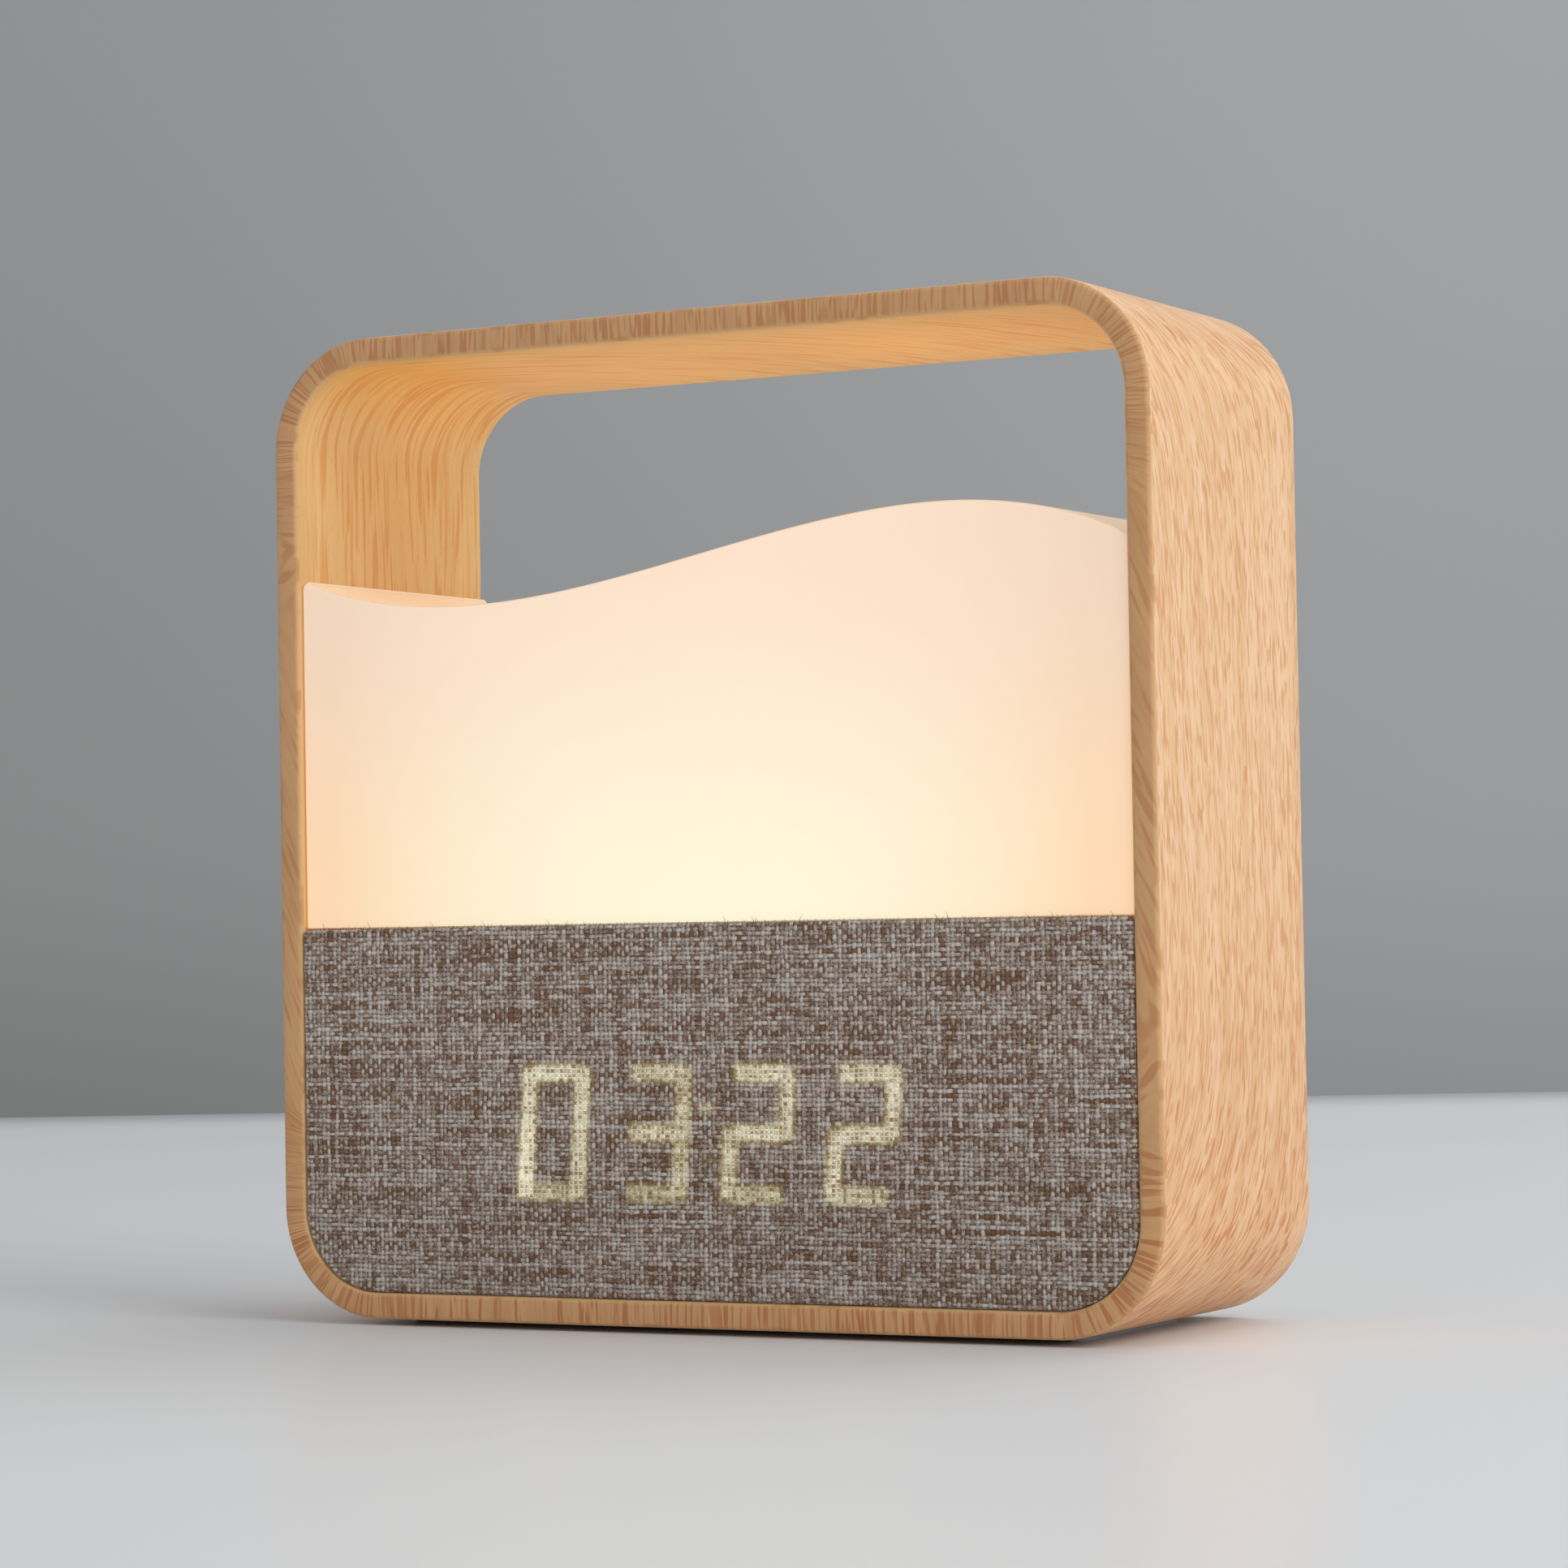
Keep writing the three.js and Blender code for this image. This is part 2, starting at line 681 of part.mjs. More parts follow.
// The seven bars of one digit, leaning to the right
function digitBars(index, grow, y0, y1) {
  const x = digitWidth / 2 - digitStroke / 2;
  const z = digitHeight / 2 - digitStroke / 2;
  const corner = (column, row) => new THREE.Vector2(column * x, row * z);
  const bars = [-1, 0, 1].map((row) => [corner(-1, row), corner(1, row)]);
  bars.push(...sides.flatMap((column) => [
    [corner(column, -1), corner(column, 0)],
    [corner(column, 0), corner(column, 1)],
  ]));
  return bars.map(([from, to]) => {
    const outline = segmentOutline(from, to, grow).map((point) => new THREE.Vector2(
      digitCentre(index) + point.x + digitLean * point.y / (digitHeight / 2),
      displayCentreZ + point.y,
    ));
    return alongY(outline, y0, y1);
  });
}

function digitLens(index) {
  const back = housingFront + housingFace + fit;
  const x = digitCentre(index);
  const plate = block(
    x - lensHalfWidth, x + lensHalfWidth, back, back + lensThickness,
    displayCentreZ - lensHalfHeight, displayCentreZ + lensHalfHeight,
  );
  const bars = digitBars(index, 0, housingFront, back + lensThickness / 2);
  return meshFrom(`digit_lens_${index + 1}`, union([plate, ...bars]), finishes.segmentPlastic);
}

function colonPins(radius, y0, y1) {
  return sides.map((side) => rodY(displayCentreX, displayCentreZ + side * colonSpread / 2, radius, y0, y1));
}

function colonLens() {
  const reach = colonSpread / 2 + colonRadius;
  const bar = block(
    displayCentreX - colonRadius, displayCentreX + colonRadius, housingBack - colonThickness, housingBack,
    displayCentreZ - reach, displayCentreZ + reach,
  );
  const pins = colonPins(colonRadius, housingFront, housingBack - colonThickness / 2);
  return meshFrom('colon_lens', union([bar, ...pins]), finishes.segmentPlastic);
}

function displayHousing() {
  const box = block(displayLeft, displayRight, housingFront, housingBack, displayLow, displayHigh);
  const flange = block(
    displayLeft, displayRight, panelBack + fit, panelBack + fit + housingFlange,
    displayLow - housingFlange, displayHigh + housingFlange,
  );
  const indexes = Array.from({ length: digitCount }, (_, i) => i);
  const pockets = indexes.map((index) => {
    const x = digitCentre(index);
    return block(
      x - lensHalfWidth - fit, x + lensHalfWidth + fit, housingFront + housingFace, housingBack + overrun,
      displayCentreZ - lensHalfHeight - fit, displayCentreZ + lensHalfHeight + fit,
    );
  });
  const slots = indexes.flatMap((index) => (
    digitBars(index, segmentGap, housingFront - overrun, housingFront + housingFace + overrun)
  ));
  const reach = colonSpread / 2 + colonRadius + segmentGap;
  const groove = block(
    displayCentreX - colonRadius - segmentGap, displayCentreX + colonRadius + segmentGap,
    housingBack - colonThickness - segmentGap, housingBack + overrun,
    displayCentreZ - reach, displayCentreZ + reach,
  );
  const pinHoles = colonPins(colonRadius + segmentGap, housingFront - overrun, housingBack);
  const cuts = [...pockets, ...slots, groove, ...pinHoles];
  return meshFrom('display_housing', subtractAll(union([box, flange]), cuts), finishes.darkPlastic);
}

function displayBoard() {
  const board = block(
    displayLeft, displayRight, displayBoardFront, displayBoardBack,
    displayLow - displayBoardMargin, displayHigh + displayBoardMargin,
  );
  const holes = displayBosses.map(([x, z]) => (
    rodY(x, z, shankRadius + fit, displayBoardFront - overrun, displayBoardBack + overrun)
  ));
  return meshFrom('display_board', subtractAll(board, holes), finishes.greenBoard);
}

function displayScrews() {
  return displayBosses.map(([x, z], i) => {
    const screw = screwMesh(`display_screw_${i + 1}`, shortShankLength, headRadius, boardScrewHeadHeight);
    screw.position.set(x, displayBoardBack + fit + boardScrewHeadHeight, z);
    return screw;
  });
}

// Speaker, turned round its own axis with heights counted back from its front face

function speakerFrame() {
  const rim = speakerRadius - speakerRimWidth;
  const bore = coilRadius + fit + basketWall;
  const floor = speakerDepth - basketWall;
  const profile = [
    [rim, 0], [speakerRadius, 0], [speakerRadius, speakerFlange], [rim + basketWall, speakerFlange],
    [basketRadius, floor], [basketRadius, speakerDepth], [bore, speakerDepth], [bore, floor],
    [basketRadius - basketWall, floor], [rim, speakerFlange], [rim, 0],
  ];
  return meshFrom('speaker_frame', turnedY(speakerX, speakerZ, speakerFront, profile), finishes.steel);
}

function speakerCone() {
  const rim = speakerRadius - speakerRimWidth - fit;
  const profile = [
    [0, coneDepth - coneThickness], [coilRadius, coneDepth - coneThickness], [rim, 0], [rim, coneThickness],
    [coilRadius, coneDepth], [coilRadius, speakerDepth - fit], [0, speakerDepth - fit],
  ];
  return meshFrom('speaker_cone', turnedY(speakerX, speakerZ, speakerFront, profile), finishes.paperCone);
}

function speakerMagnet() {
  const front = speakerFront + speakerDepth + fit;
  const magnet = rodY(speakerX, speakerZ, magnetRadius, front, front + magnetHeight, roundSides);
  return meshFrom('speaker_magnet', magnet, finishes.steel);
}

// Rear cover

function buttonX(index) {
  return (index - (buttonCount - 1) / 2) * buttonPitch;
}

function eachButton(make) {
  return Array.from({ length: buttonCount }, (_, i) => make(i, buttonX(i)));
}

function rearCover() {
  const plate = alongY(coreOutline(fit, dividerTop), coverInner, coverOuter);
  const middle = coverOuter - coverThickness / 2;
  const bosses = coverBosses.map(([x, z]) => rodY(x, z, coverBossRadius, controlOuter + fit, middle));
  const buttonHoles = eachButton((_, x) => (
    rodY(x, buttonRowZ, buttonRadius + fit, coverInner - overrun, coverOuter + overrun, roundSides)
  ));
  const sliderSlot = block(
    sliderX - sliderLength / 2 - fit, sliderX + sliderLength / 2 + sliderTravel + fit,
    coverInner - overrun, coverOuter + overrun,
    sliderZ - sliderHeight / 2 - fit, sliderZ + sliderHeight / 2 + fit,
  );
  const inletHole = block(
    inletX - inletWidth / 2 - fit, inletX + inletWidth / 2 + fit,
    coverInner - overrun, coverOuter + overrun,
    inletZ - inletHeight / 2 - fit, inletZ + inletHeight / 2 + fit,
  );
  const vents = Array.from({ length: ventCount }, (_, i) => {
    const x = (i - (ventCount - 1) / 2) * ventPitch;
    return block(
      x - ventWidth / 2, x + ventWidth / 2, coverInner - overrun, coverOuter + overrun,
      ventCentreZ - ventHeight / 2, ventCentreZ + ventHeight / 2,
    );
  });
  const screwHoles = fixings.flatMap(([x, z]) => [
    rodY(x, z, shankRadius + fit, coverInner - overrun, coverOuter + overrun),
    rodY(x, z, headRadius + fit, coverOuter - headSink(), coverOuter + overrun),
  ]);
  const boardHoles = coverBosses.map(([x, z]) => (
    rodY(x, z, shankRadius + threadGap, controlOuter, controlOuter + shortShankLength)
  ));
  const cuts = [...buttonHoles, sliderSlot, inletHole, ...vents, ...screwHoles, ...boardHoles];
  return meshFrom('rear_cover', subtractAll(union([plate, ...bosses]), cuts), finishes.coverPlastic);
}

// Depth of the seat for a screw head in the rear cover
function headSink() {
  return coverThickness / 2;
}

function coverScrews() {
  return fixings.map(([x, z], i) => {
    const head = headSink() - fit;
    const screw = screwMesh(`cover_screw_${i + 1}`, shankLength, headRadius, head);
    screw.position.set(x, coverOuter - headSink() + fit / 2 + head, z);
    return screw;
  });
}

function controlBoard() {
  const board = block(
    -controlHalfWidth, controlHalfWidth, controlInner, controlOuter, controlLow, controlHigh,
  );
  const holes = coverBosses.map(([x, z]) => (
    rodY(x, z, shankRadius + fit, controlInner - overrun, controlOuter + overrun)
  ));
  return meshFrom('control_board', subtractAll(board, holes), finishes.greenBoard);
}

function boardScrews() {
  return coverBosses.map(([x, z], i) => {
    const screw = screwMesh(`board_screw_${i + 1}`, shortShankLength, headRadius, boardScrewHeadHeight);
    screw.rotation.x = Math.PI;
    screw.position.set(x, controlInner - fit - boardScrewHeadHeight, z);
    return screw;
  });
}

// Push buttons: cap, flange inside the cover and plunger are one moulding

function buttonCap(name, x) {
  const top = coverOuter + buttonProud;
  const rim = buttonRadius + buttonFlangeWidth;
  const profile = [
    [0, stemTop], [plungerRadius, stemTop], [plungerRadius, flangeInner], [rim, flangeInner],
    [rim, flangeOuter], [buttonRadius, flangeOuter], [buttonRadius, top - buttonCrown],
    [buttonRadius - buttonCrown, top], [0, top],
  ];
  return meshFrom(name, turnedY(x, buttonRowZ, 0, profile), finishes.buttonPlastic);
}

function buttons() {
  const names = ['light_button', 'set_button', 'minus_button', 'plus_button'];
  return eachButton((i, x) => buttonCap(names[i] ?? `button_${i + 1}`, x));
}

function tactSwitches() {
  const half = switchSize / 2;
  const stemLow = stemTop - stemProud - buttonTravel - fit;
  return eachButton((i, x) => {
    const top = controlOuter + switchHeight;
    const box = block(x - half, x + half, controlOuter, top, buttonRowZ - half, buttonRowZ + half);
    const well = rodY(x, buttonRowZ, stemRadius + fit, stemLow - buttonTravel - fit, top + overrun);
    const stem = rodY(x, buttonRowZ, stemRadius, stemLow, stemTop);
    return [
      meshFrom(`tact_switch_${i + 1}`, box.subtract(well), finishes.darkPlastic),
      meshFrom(`tact_stem_${i + 1}`, stem, finishes.whitePlastic),
    ];
  }).flat();
}

// Alarm slider

function alarmSlider() {
  const half = sliderLength / 2;
  const knob = block(
    sliderX - half, sliderX + half, flangeOuter - sliderFlangeThickness / 2, coverOuter + sliderProud,
    sliderZ - sliderHeight / 2, sliderZ + sliderHeight / 2,
  );
  const flange = block(
    sliderX - half - sliderFlangeReach, sliderX + half + sliderFlangeReach,
    flangeOuter - sliderFlangeThickness, flangeOuter,
    sliderZ - sliderHeight / 2 - sliderFlangeThickness, sliderZ + sliderHeight / 2 + sliderFlangeThickness,
  );
  const stem = block(
    sliderX - sliderStem / 2, sliderX + sliderStem / 2,
    controlOuter + slideSwitchHeight - sliderStemReach, flangeOuter - sliderFlangeThickness / 2,
    sliderZ - sliderStem / 2, sliderZ + sliderStem / 2,
  );
  return meshFrom('alarm_slider', union([knob, flange, stem]), finishes.buttonPlastic);
}

function slideSwitch() {
  const middle = sliderX + sliderTravel / 2;
  const half = slideSwitchLength / 2;
  const top = controlOuter + slideSwitchHeight;
  const box = block(
    middle - half, middle + half, controlOuter, top,
    sliderZ - slideSwitchWidth / 2, sliderZ + slideSwitchWidth / 2,
  );
  const slot = block(
    sliderX - sliderStem / 2 - fit, sliderX + sliderStem / 2 + sliderTravel + fit,
    top - sliderStemReach - fit, top + overrun,
    sliderZ - sliderStem / 2 - fit, sliderZ + sliderStem / 2 + fit,
  );
  return meshFrom('slide_switch', box.subtract(slot), finishes.darkPlastic);
}

// Power inlet: a steel shell with its contact tongue

function powerInlet() {
  const half = inletWidth / 2;
  const low = inletZ - inletHeight / 2;
  const high = inletZ + inletHeight / 2;
  const mouth = coverOuter - inletSetback;
  const floor = controlOuter + inletFloor;
  const shell = block(inletX - half, inletX + half, controlOuter, mouth, low, high);
  const roomHalf = half - inletWall;
  const room = block(
    inletX - roomHalf, inletX + roomHalf, floor, mouth + overrun, low + inletWall, high - inletWall,
  );
  const tongueHalf = roomHalf - inletTongueInset;
  const tongue = block(
    inletX - tongueHalf, inletX + tongueHalf, floor - inletTongue, mouth - inletTongueInset,
    inletZ - inletTongue / 2, inletZ + inletTongue / 2,
  );
  return meshFrom('power_inlet', shell.subtract(room).add(tongue), finishes.steel);
}

// Rechargeable cell

function rechargeableCell() {
  const geometry = new THREE.CylinderGeometry(cellRadius, cellRadius, cellLength, roundSides);
  geometry.rotateZ(quarterTurn);
  geometry.translate(cellX, 0, cellZ);
  return meshFrom('rechargeable_cell', solidFrom(geometry), finishes.cellWrap);
}

// Leads

function leadSolid(points, outline) {
  const path = new THREE.CatmullRomCurve3(points.map((point) => new THREE.Vector3(...point)));
  return solidFrom(new THREE.ExtrudeGeometry(new THREE.Shape(outline), {
    steps: leadSteps,
    extrudePath: path,
    bevelEnabled: false,
  }));
}

function roundLead(name, points) {
  const outline = Array.from({ length: leadSides }, (_, i) => {
    const angle = 4 * quarterTurn * i / leadSides;
    return new THREE.Vector2(leadRadius * Math.cos(angle), leadRadius * Math.sin(angle));
  });
  return meshFrom(name, leadSolid(points, outline), finishes.leadJacket);
}

// Where the lamp's lead goes down through the chassis
function lampLeadPlace() {
  const inset = leadHoleRadius + leadRadius;
  return [-lampBoardHalf + inset, lampBoardDepth / 2 - inset];
}

function leads() {
  const [lampX, lampY] = lampLeadPlace();
  const boardEnd = controlInner - fit;
  const magnetBack = speakerFront + speakerDepth + magnetHeight + 2 * fit;
  const cellEnd = cellX - cellLength / 2 - fit;
  return [
    roundLead('lamp_lead', [
      [lampX, lampY, dividerTop - fit],
      [lampX, lampY, dividerUnder - leadDrop],
      [lampX + leadDrop, (lampY + boardEnd) / 2, controlHigh - leadDrop],
      [lampX + leadDrop, boardEnd - leadDrop / 2, controlHigh - 2 * leadDrop],
      [lampX + leadDrop, boardEnd, controlHigh - 2 * leadDrop],
    ]),
    roundLead('speaker_lead', [
      [speakerX, magnetBack, speakerZ],
      [speakerX, (magnetBack + boardEnd) / 2, speakerZ - leadDrop],
      [speakerX + leadDrop, boardEnd - leadDrop, speakerZ + leadDrop],
      [speakerX + leadDrop, boardEnd, speakerZ + leadDrop],
    ]),
    roundLead('cell_lead', [
      [cellEnd, 0, cellZ],
      [cellEnd - leadDrop / 2, 0, cellZ],
      [cellEnd - leadDrop, boardEnd / 2, cellZ + leadDrop / 2],
      [cellEnd - leadDrop, boardEnd - leadDrop / 2, cellZ + leadDrop],
      [cellEnd - leadDrop, boardEnd, cellZ + leadDrop],
    ]),
  ];
}

// Flat ribbon between the display board and the control board
function displayRibbon() {
  const low = displayBoardBack + fit;
  const high = controlInner - fit;
  const z = displayCentreZ + housingHalfHeight;
  const half = ribbonWidth / 2;
  const sag = new THREE.CubicBezierCurve(
    new THREE.Vector2(low, z),
    new THREE.Vector2(low + leadDrop, z - leadDrop),
    new THREE.Vector2(high - leadDrop, z - leadDrop),
    new THREE.Vector2(high, z),
  ).getPoints(leadSteps);
  const under = sag.map((point) => new THREE.Vector2(point.x, point.y - ribbonThickness));
  const geometry = extruded([...sag, ...under.reverse()], ribbonWidth);
  geometry.applyMatrix4(new THREE.Matrix4().makeBasis(
    new THREE.Vector3(0, 1, 0), new THREE.Vector3(0, 0, 1), new THREE.Vector3(1, 0, 0),
  ));
  geometry.translate(displayCentreX - half, 0, 0);
  return meshFrom('display_ribbon', solidFrom(geometry), finishes.whitePlastic);
}

// The whole clock

const clock = new THREE.Group();
clock.name = 'night_light_alarm_clock';
const onPad = new THREE.Group();
onPad.position.z = padThickness;
onPad.add(
  woodBand(),
  chassis(),
  lampShade(),
  reflectorTray(),
  lampBoard(),
  ...lampLeds(),
  frontCloth(),
  frontPanel(),
  displayHousing(),
  ...Array.from({ length: digitCount }, (_, i) => digitLens(i)),
  colonLens(),
  displayBoard(),
  speakerFrame(),
  speakerCone(),
  speakerMagnet(),
  rearCover(),
  controlBoard(),
  ...buttons(),
  ...tactSwitches(),
  alarmSlider(),
  slideSwitch(),
  powerInlet(),
  rechargeableCell(),
  ...panelCups(),
  ...bandScrews(),
  ...coverScrews(),
  ...shadeScrews(),
  ...displayScrews(),
  ...boardScrews(),
  displayRibbon(),
  ...leads(),
);
clock.add(basePad(), onPad);

export default clock;
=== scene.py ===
# Looks of the night light alarm clock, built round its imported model.
# Lengths are in metres. The helper mm() turns a length in millimetres into metres.

import json
import math
import random

import bmesh
import bpy
from mathutils import Matrix, Vector


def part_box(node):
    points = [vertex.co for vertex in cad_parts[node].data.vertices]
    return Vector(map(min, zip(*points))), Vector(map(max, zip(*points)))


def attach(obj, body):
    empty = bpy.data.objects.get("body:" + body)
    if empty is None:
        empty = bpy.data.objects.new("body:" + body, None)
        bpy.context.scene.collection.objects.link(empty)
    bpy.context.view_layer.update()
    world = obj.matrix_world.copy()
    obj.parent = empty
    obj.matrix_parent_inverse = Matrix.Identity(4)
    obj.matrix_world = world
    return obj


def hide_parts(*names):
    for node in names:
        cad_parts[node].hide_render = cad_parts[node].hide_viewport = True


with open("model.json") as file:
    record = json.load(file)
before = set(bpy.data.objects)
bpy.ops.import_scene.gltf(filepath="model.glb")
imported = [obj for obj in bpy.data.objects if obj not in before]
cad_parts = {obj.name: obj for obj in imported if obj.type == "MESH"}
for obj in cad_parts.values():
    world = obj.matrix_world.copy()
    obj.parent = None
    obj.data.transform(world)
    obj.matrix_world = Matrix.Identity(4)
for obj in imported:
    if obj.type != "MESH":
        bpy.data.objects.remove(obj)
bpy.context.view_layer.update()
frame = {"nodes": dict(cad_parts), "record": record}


def mm(length):
    return length / 1000


# Sizes, from the frame where it has them

band_low, band_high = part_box("wood_band")
shade_low, shade_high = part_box("lamp_shade")
cloth_low, cloth_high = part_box("front_cloth")
cover_low, cover_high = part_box("rear_cover")
pad_low, pad_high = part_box("base_pad")

# Wood-look band
band_half_width = band_high.x
band_half_depth = band_high.y
band_wall = mm(4.1)
band_corner = mm(17)
band_edge = mm(0.8)
inner_half = band_half_width - band_wall
band_middle = (band_low.z + band_high.z) / 2

# Lamp shade: the wave on its top, as handles of one Bezier curve measured from the band's inner faces
wave_end = shade_high.z - mm(6.23)
dip_reach = mm(47.6)
dip_drop = mm(18.3)
crest_reach = mm(43.5)
crest_rise = mm(20.7)
shade_wall = mm(2)
shade_edge = mm(0.7)
shade_corner = mm(1.3)
shade_high_corner = mm(0.5)  # at its right end
shade_half = inner_half - mm(0.2)

# Cloth and the lit display behind it
cloth_thickness = mm(0.7)
sheet_thickness = cloth_thickness * 0.7
cloth_fullness = mm(0.13)  # by which its soft edge fills the gap to the band
cloth_roll = mm(0.45)  # radius of its soft edge
warp_pitch = 0.8  # of the threads, in millimetres
weft_pitch = 0.7
display_x = mm(1.35)
display_z = band_low.z + mm(29)
digit_pitch = mm(17.6)
digit_width = mm(11.9)
digit_height = mm(20.5)
digit_stroke = mm(2.6)
digit_lean = mm(0.7)
bar_tip = mm(0.35)  # from a bar's nominal end to its point
plate_thickness = mm(1.2)
colon_spread = mm(7.6)
level_end_gap = mm(0.8)  # the level bars' light ends before the corners
upright_end_gap = mm(-0.4)  # the upright bars' light runs on to the corners
light_shift = Vector((mm(0.4), 0))  # of the light on the cloth against its bars
shown_time = "0322"

# Rear: buttons, slider, inlet, vents and screws
fit = mm(0.3)
button_radius = mm(4.5)
button_flange = mm(1)
button_plunger = mm(1.5)
slider_travel = mm(3)
slider_length = mm(4.4)
slider_height = mm(3.4)
slider_flange = mm(1)
slider_stem = mm(1.6)
vent_count = 5
vent_pitch = mm(4.4)
vent_width = mm(1.8)
vent_height = mm(12)
vent_centre = band_low.z + mm(20)
cover_thickness = mm(2.2)
boss_radius = mm(3)
boss_bore = mm(1.5)
boss_reach = mm(43.9)
boss_z = band_low.z + mm(30.5)
screw_head_radius = mm(2.6)
screw_shank_radius = mm(1.4)
screw_head_height = mm(0.8)
screw_dome = mm(0.45)
screw_point = mm(1.4)
inlet_wall = mm(0.35)
inlet_depth = mm(6.9)
tongue_half_width = mm(3.15)
tongue_thickness = mm(0.7)
tongue_setback = mm(1)


# Meshes

def add_object(name, mesh, slot, replaced=(), body="clock_body", materials=None):
    """A finished piece, which rides on its body and stands for the nodes that it replaces.
    It has the finish of its slot, unless other materials are given."""
    piece = bpy.data.objects.new(name, mesh)
    bpy.context.scene.collection.objects.link(piece)
    for material in materials or [finishes[slot]]:
        mesh.materials.append(material)
    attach(piece, body)
    if replaced:
        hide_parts(*replaced)
    return piece


def mesh_from(name, builder, smooth=True):
    mesh = bpy.data.meshes.new(name)
    bmesh.ops.recalc_face_normals(builder, faces=builder.faces)
    for face in builder.faces:
        face.smooth = smooth
    builder.to_mesh(mesh)
    builder.free()
    return mesh


def sharpen(mesh, degrees):
    """Marks the edges that are steeper than an angle, so that flat faces stay flat"""
    builder = bmesh.new()
    builder.from_mesh(mesh)
    for edge in builder.edges:
        if len(edge.link_faces) == 2 and edge.calc_face_angle() > math.radians(degrees):
            edge.smooth = False
    builder.to_mesh(mesh)
    builder.free()
    return mesh


def arc(cx, cy, radius, start, end, steps):
    """Points on an arc, angles in degrees"""
    points = []
    for i in range(steps + 1):
        angle = math.radians(start + (end - start) * i / steps)
        points.append((cx + radius * math.cos(angle), cy + radius * math.sin(angle)))
    return points


def line_points(start, end, steps):
    """Points from start to end, both of them included"""
    return [tuple(a + (b - a) * i / steps for a, b in zip(start, end)) for i in range(steps + 1)]


def circle(x, z, radius, steps=48):
    return arc(x, z, radius, 0, 360, steps)[:-1]


def rounded_outline(x0, x1, z0, z1, low, high=None, steps=10):
    """Anticlockwise outline of a rectangle with round corners.
    Low is the radius of its lower ones and high, where it differs, that of its upper ones."""
    high = low if high is None else high
    points = arc(x1 - low, z0 + low, low, -90, 0, steps)
    points += arc(x1 - high, z1 - high, high, 0, 90, steps)
    points += arc(x0 + high, z1 - high, high, 90, 180, steps)
    points += arc(x0 + low, z0 + low, low, 180, 270, steps)
    return points


def skin(builder, rings, material=0):
    """Joins each ring of points to the next one and closes the first and the last.
    The material is given by its place among the piece's materials."""
    faces = []
    for first, second in zip(rings, rings[1:]):
        for i in range(len(first)):
            j = (i + 1) % len(first)
            faces.append((first[i], first[j], second[j], second[i]))
    for corners in (*faces, rings[0][::-1], rings[-1]):
        builder.faces.new(corners).material_index = material


def slab(builder, outline, y0, y1, material=0):
    """Extrudes an outline drawn in X and Z from y0 to y1, closed at both ends"""
    skin(builder, [[builder.verts.new((x, y, z)) for x, z in outline] for y in (y0, y1)], material)


def prism(builder, outline, z0, z1):
    """Extrudes an outline drawn in X and Y from z0 to z1, closed at both ends"""
    skin(builder, [[builder.verts.new((x, y, z)) for x, y in outline] for z in (z0, z1)])


def lathe(builder, profile, centre, sides):
    """Turns (radius, along) points round a line along Y through a centre; a radius of 0 closes the end"""
    rings = []
    for radius, along in profile:
        ring = []
        for x, z in circle(0, 0, radius, sides if radius > 0 else 1):
            ring.append(builder.verts.new(Vector(centre) + Vector((x, along, z))))
        rings.append(ring)
    for lower, upper in zip(rings, rings[1:]):
        for i in range(sides):
            j = (i + 1) % sides
            below = (lower[i % len(lower)], lower[j % len(lower)])
            above = (upper[j % len(upper)], upper[i % len(upper)])
            unique = list(dict.fromkeys(below + above))
            if len(unique) > 2:
                builder.faces.new(unique)


def cut(piece, cutters):
    """Cuts closed meshes out of a piece and leaves a plain mesh"""
    for cutter in cutters:
        tool = bpy.data.objects.new("cutter", cutter)
        bpy.context.scene.collection.objects.link(tool)
        modifier = piece.modifiers.new("cut", "BOOLEAN")
        modifier.operation = "DIFFERENCE"
        modifier.solver = "EXACT"
        modifier.object = tool
        graph = bpy.context.evaluated_depsgraph_get()
        done = bpy.data.meshes.new_from_object(piece.evaluated_get(graph))
        piece.modifiers.clear()
        piece.data = done
        bpy.data.objects.remove(tool)


def box_and_middle(node):
    """A node's lowest and highest corners, and the x and z of its middle"""
    low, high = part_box(node)
    return low, high, (low.x + high.x) / 2, (low.z + high.z) / 2


# Shader nodes

class Value:
    """What a shader node puts out. A sum, difference, product or quotient with it makes the node for that."""

    def __init__(self, socket):
        self.socket = socket
        self.tree = socket.id_data

    def __add__(self, other):
        return calc("ADD", self, other)

    def __radd__(self, other):
        return calc("ADD", other, self)

    def __sub__(self, other):
        return calc("SUBTRACT", self, other)

    def __rsub__(self, other):
        return calc("SUBTRACT", other, self)

    def __mul__(self, other):
        return calc("MULTIPLY", self, other)

    def __truediv__(self, other):
        return calc("DIVIDE", self, other)


def tint(text):
    """A colour written as on a screen, such as e5bb92, in the linear values that shaders take"""
    parts = [int(text[i:i + 2], 16) / 255 for i in (0, 2, 4)]
    linear = [p / 12.92 if p <= 0.04045 else ((p + 0.055) / 1.055) ** 2.4 for p in parts]
    return (*linear, 1)


def put(socket, value):
    """Links a value to an input, or sets the input to a number, a colour or the text of a colour"""
    if isinstance(value, Value):
        value.tree.links.new(value.socket, socket)
    else:
        socket.default_value = tint(value) if isinstance(value, str) else value


def feed(node, **values):
    """Puts values on the inputs of a node, whose names have underscores here in place of spaces"""
    for name, value in values.items():
        put(node.inputs[name.replace("_", " ")], value)


def add_node(tree, kind, settings=None, **values):
    made = tree.nodes.new(kind)
    for key, value in (settings or {}).items():
        setattr(made, key, value)
    feed(made, **values)
    return made


def source(tree, kind, output, settings=None):
    """The value of a node that has no inputs to set"""
    return Value(add_node(tree, kind, settings).outputs[output])


def attribute(tree, name):
    return source(tree, "ShaderNodeAttribute", "Color", {"attribute_name": name})


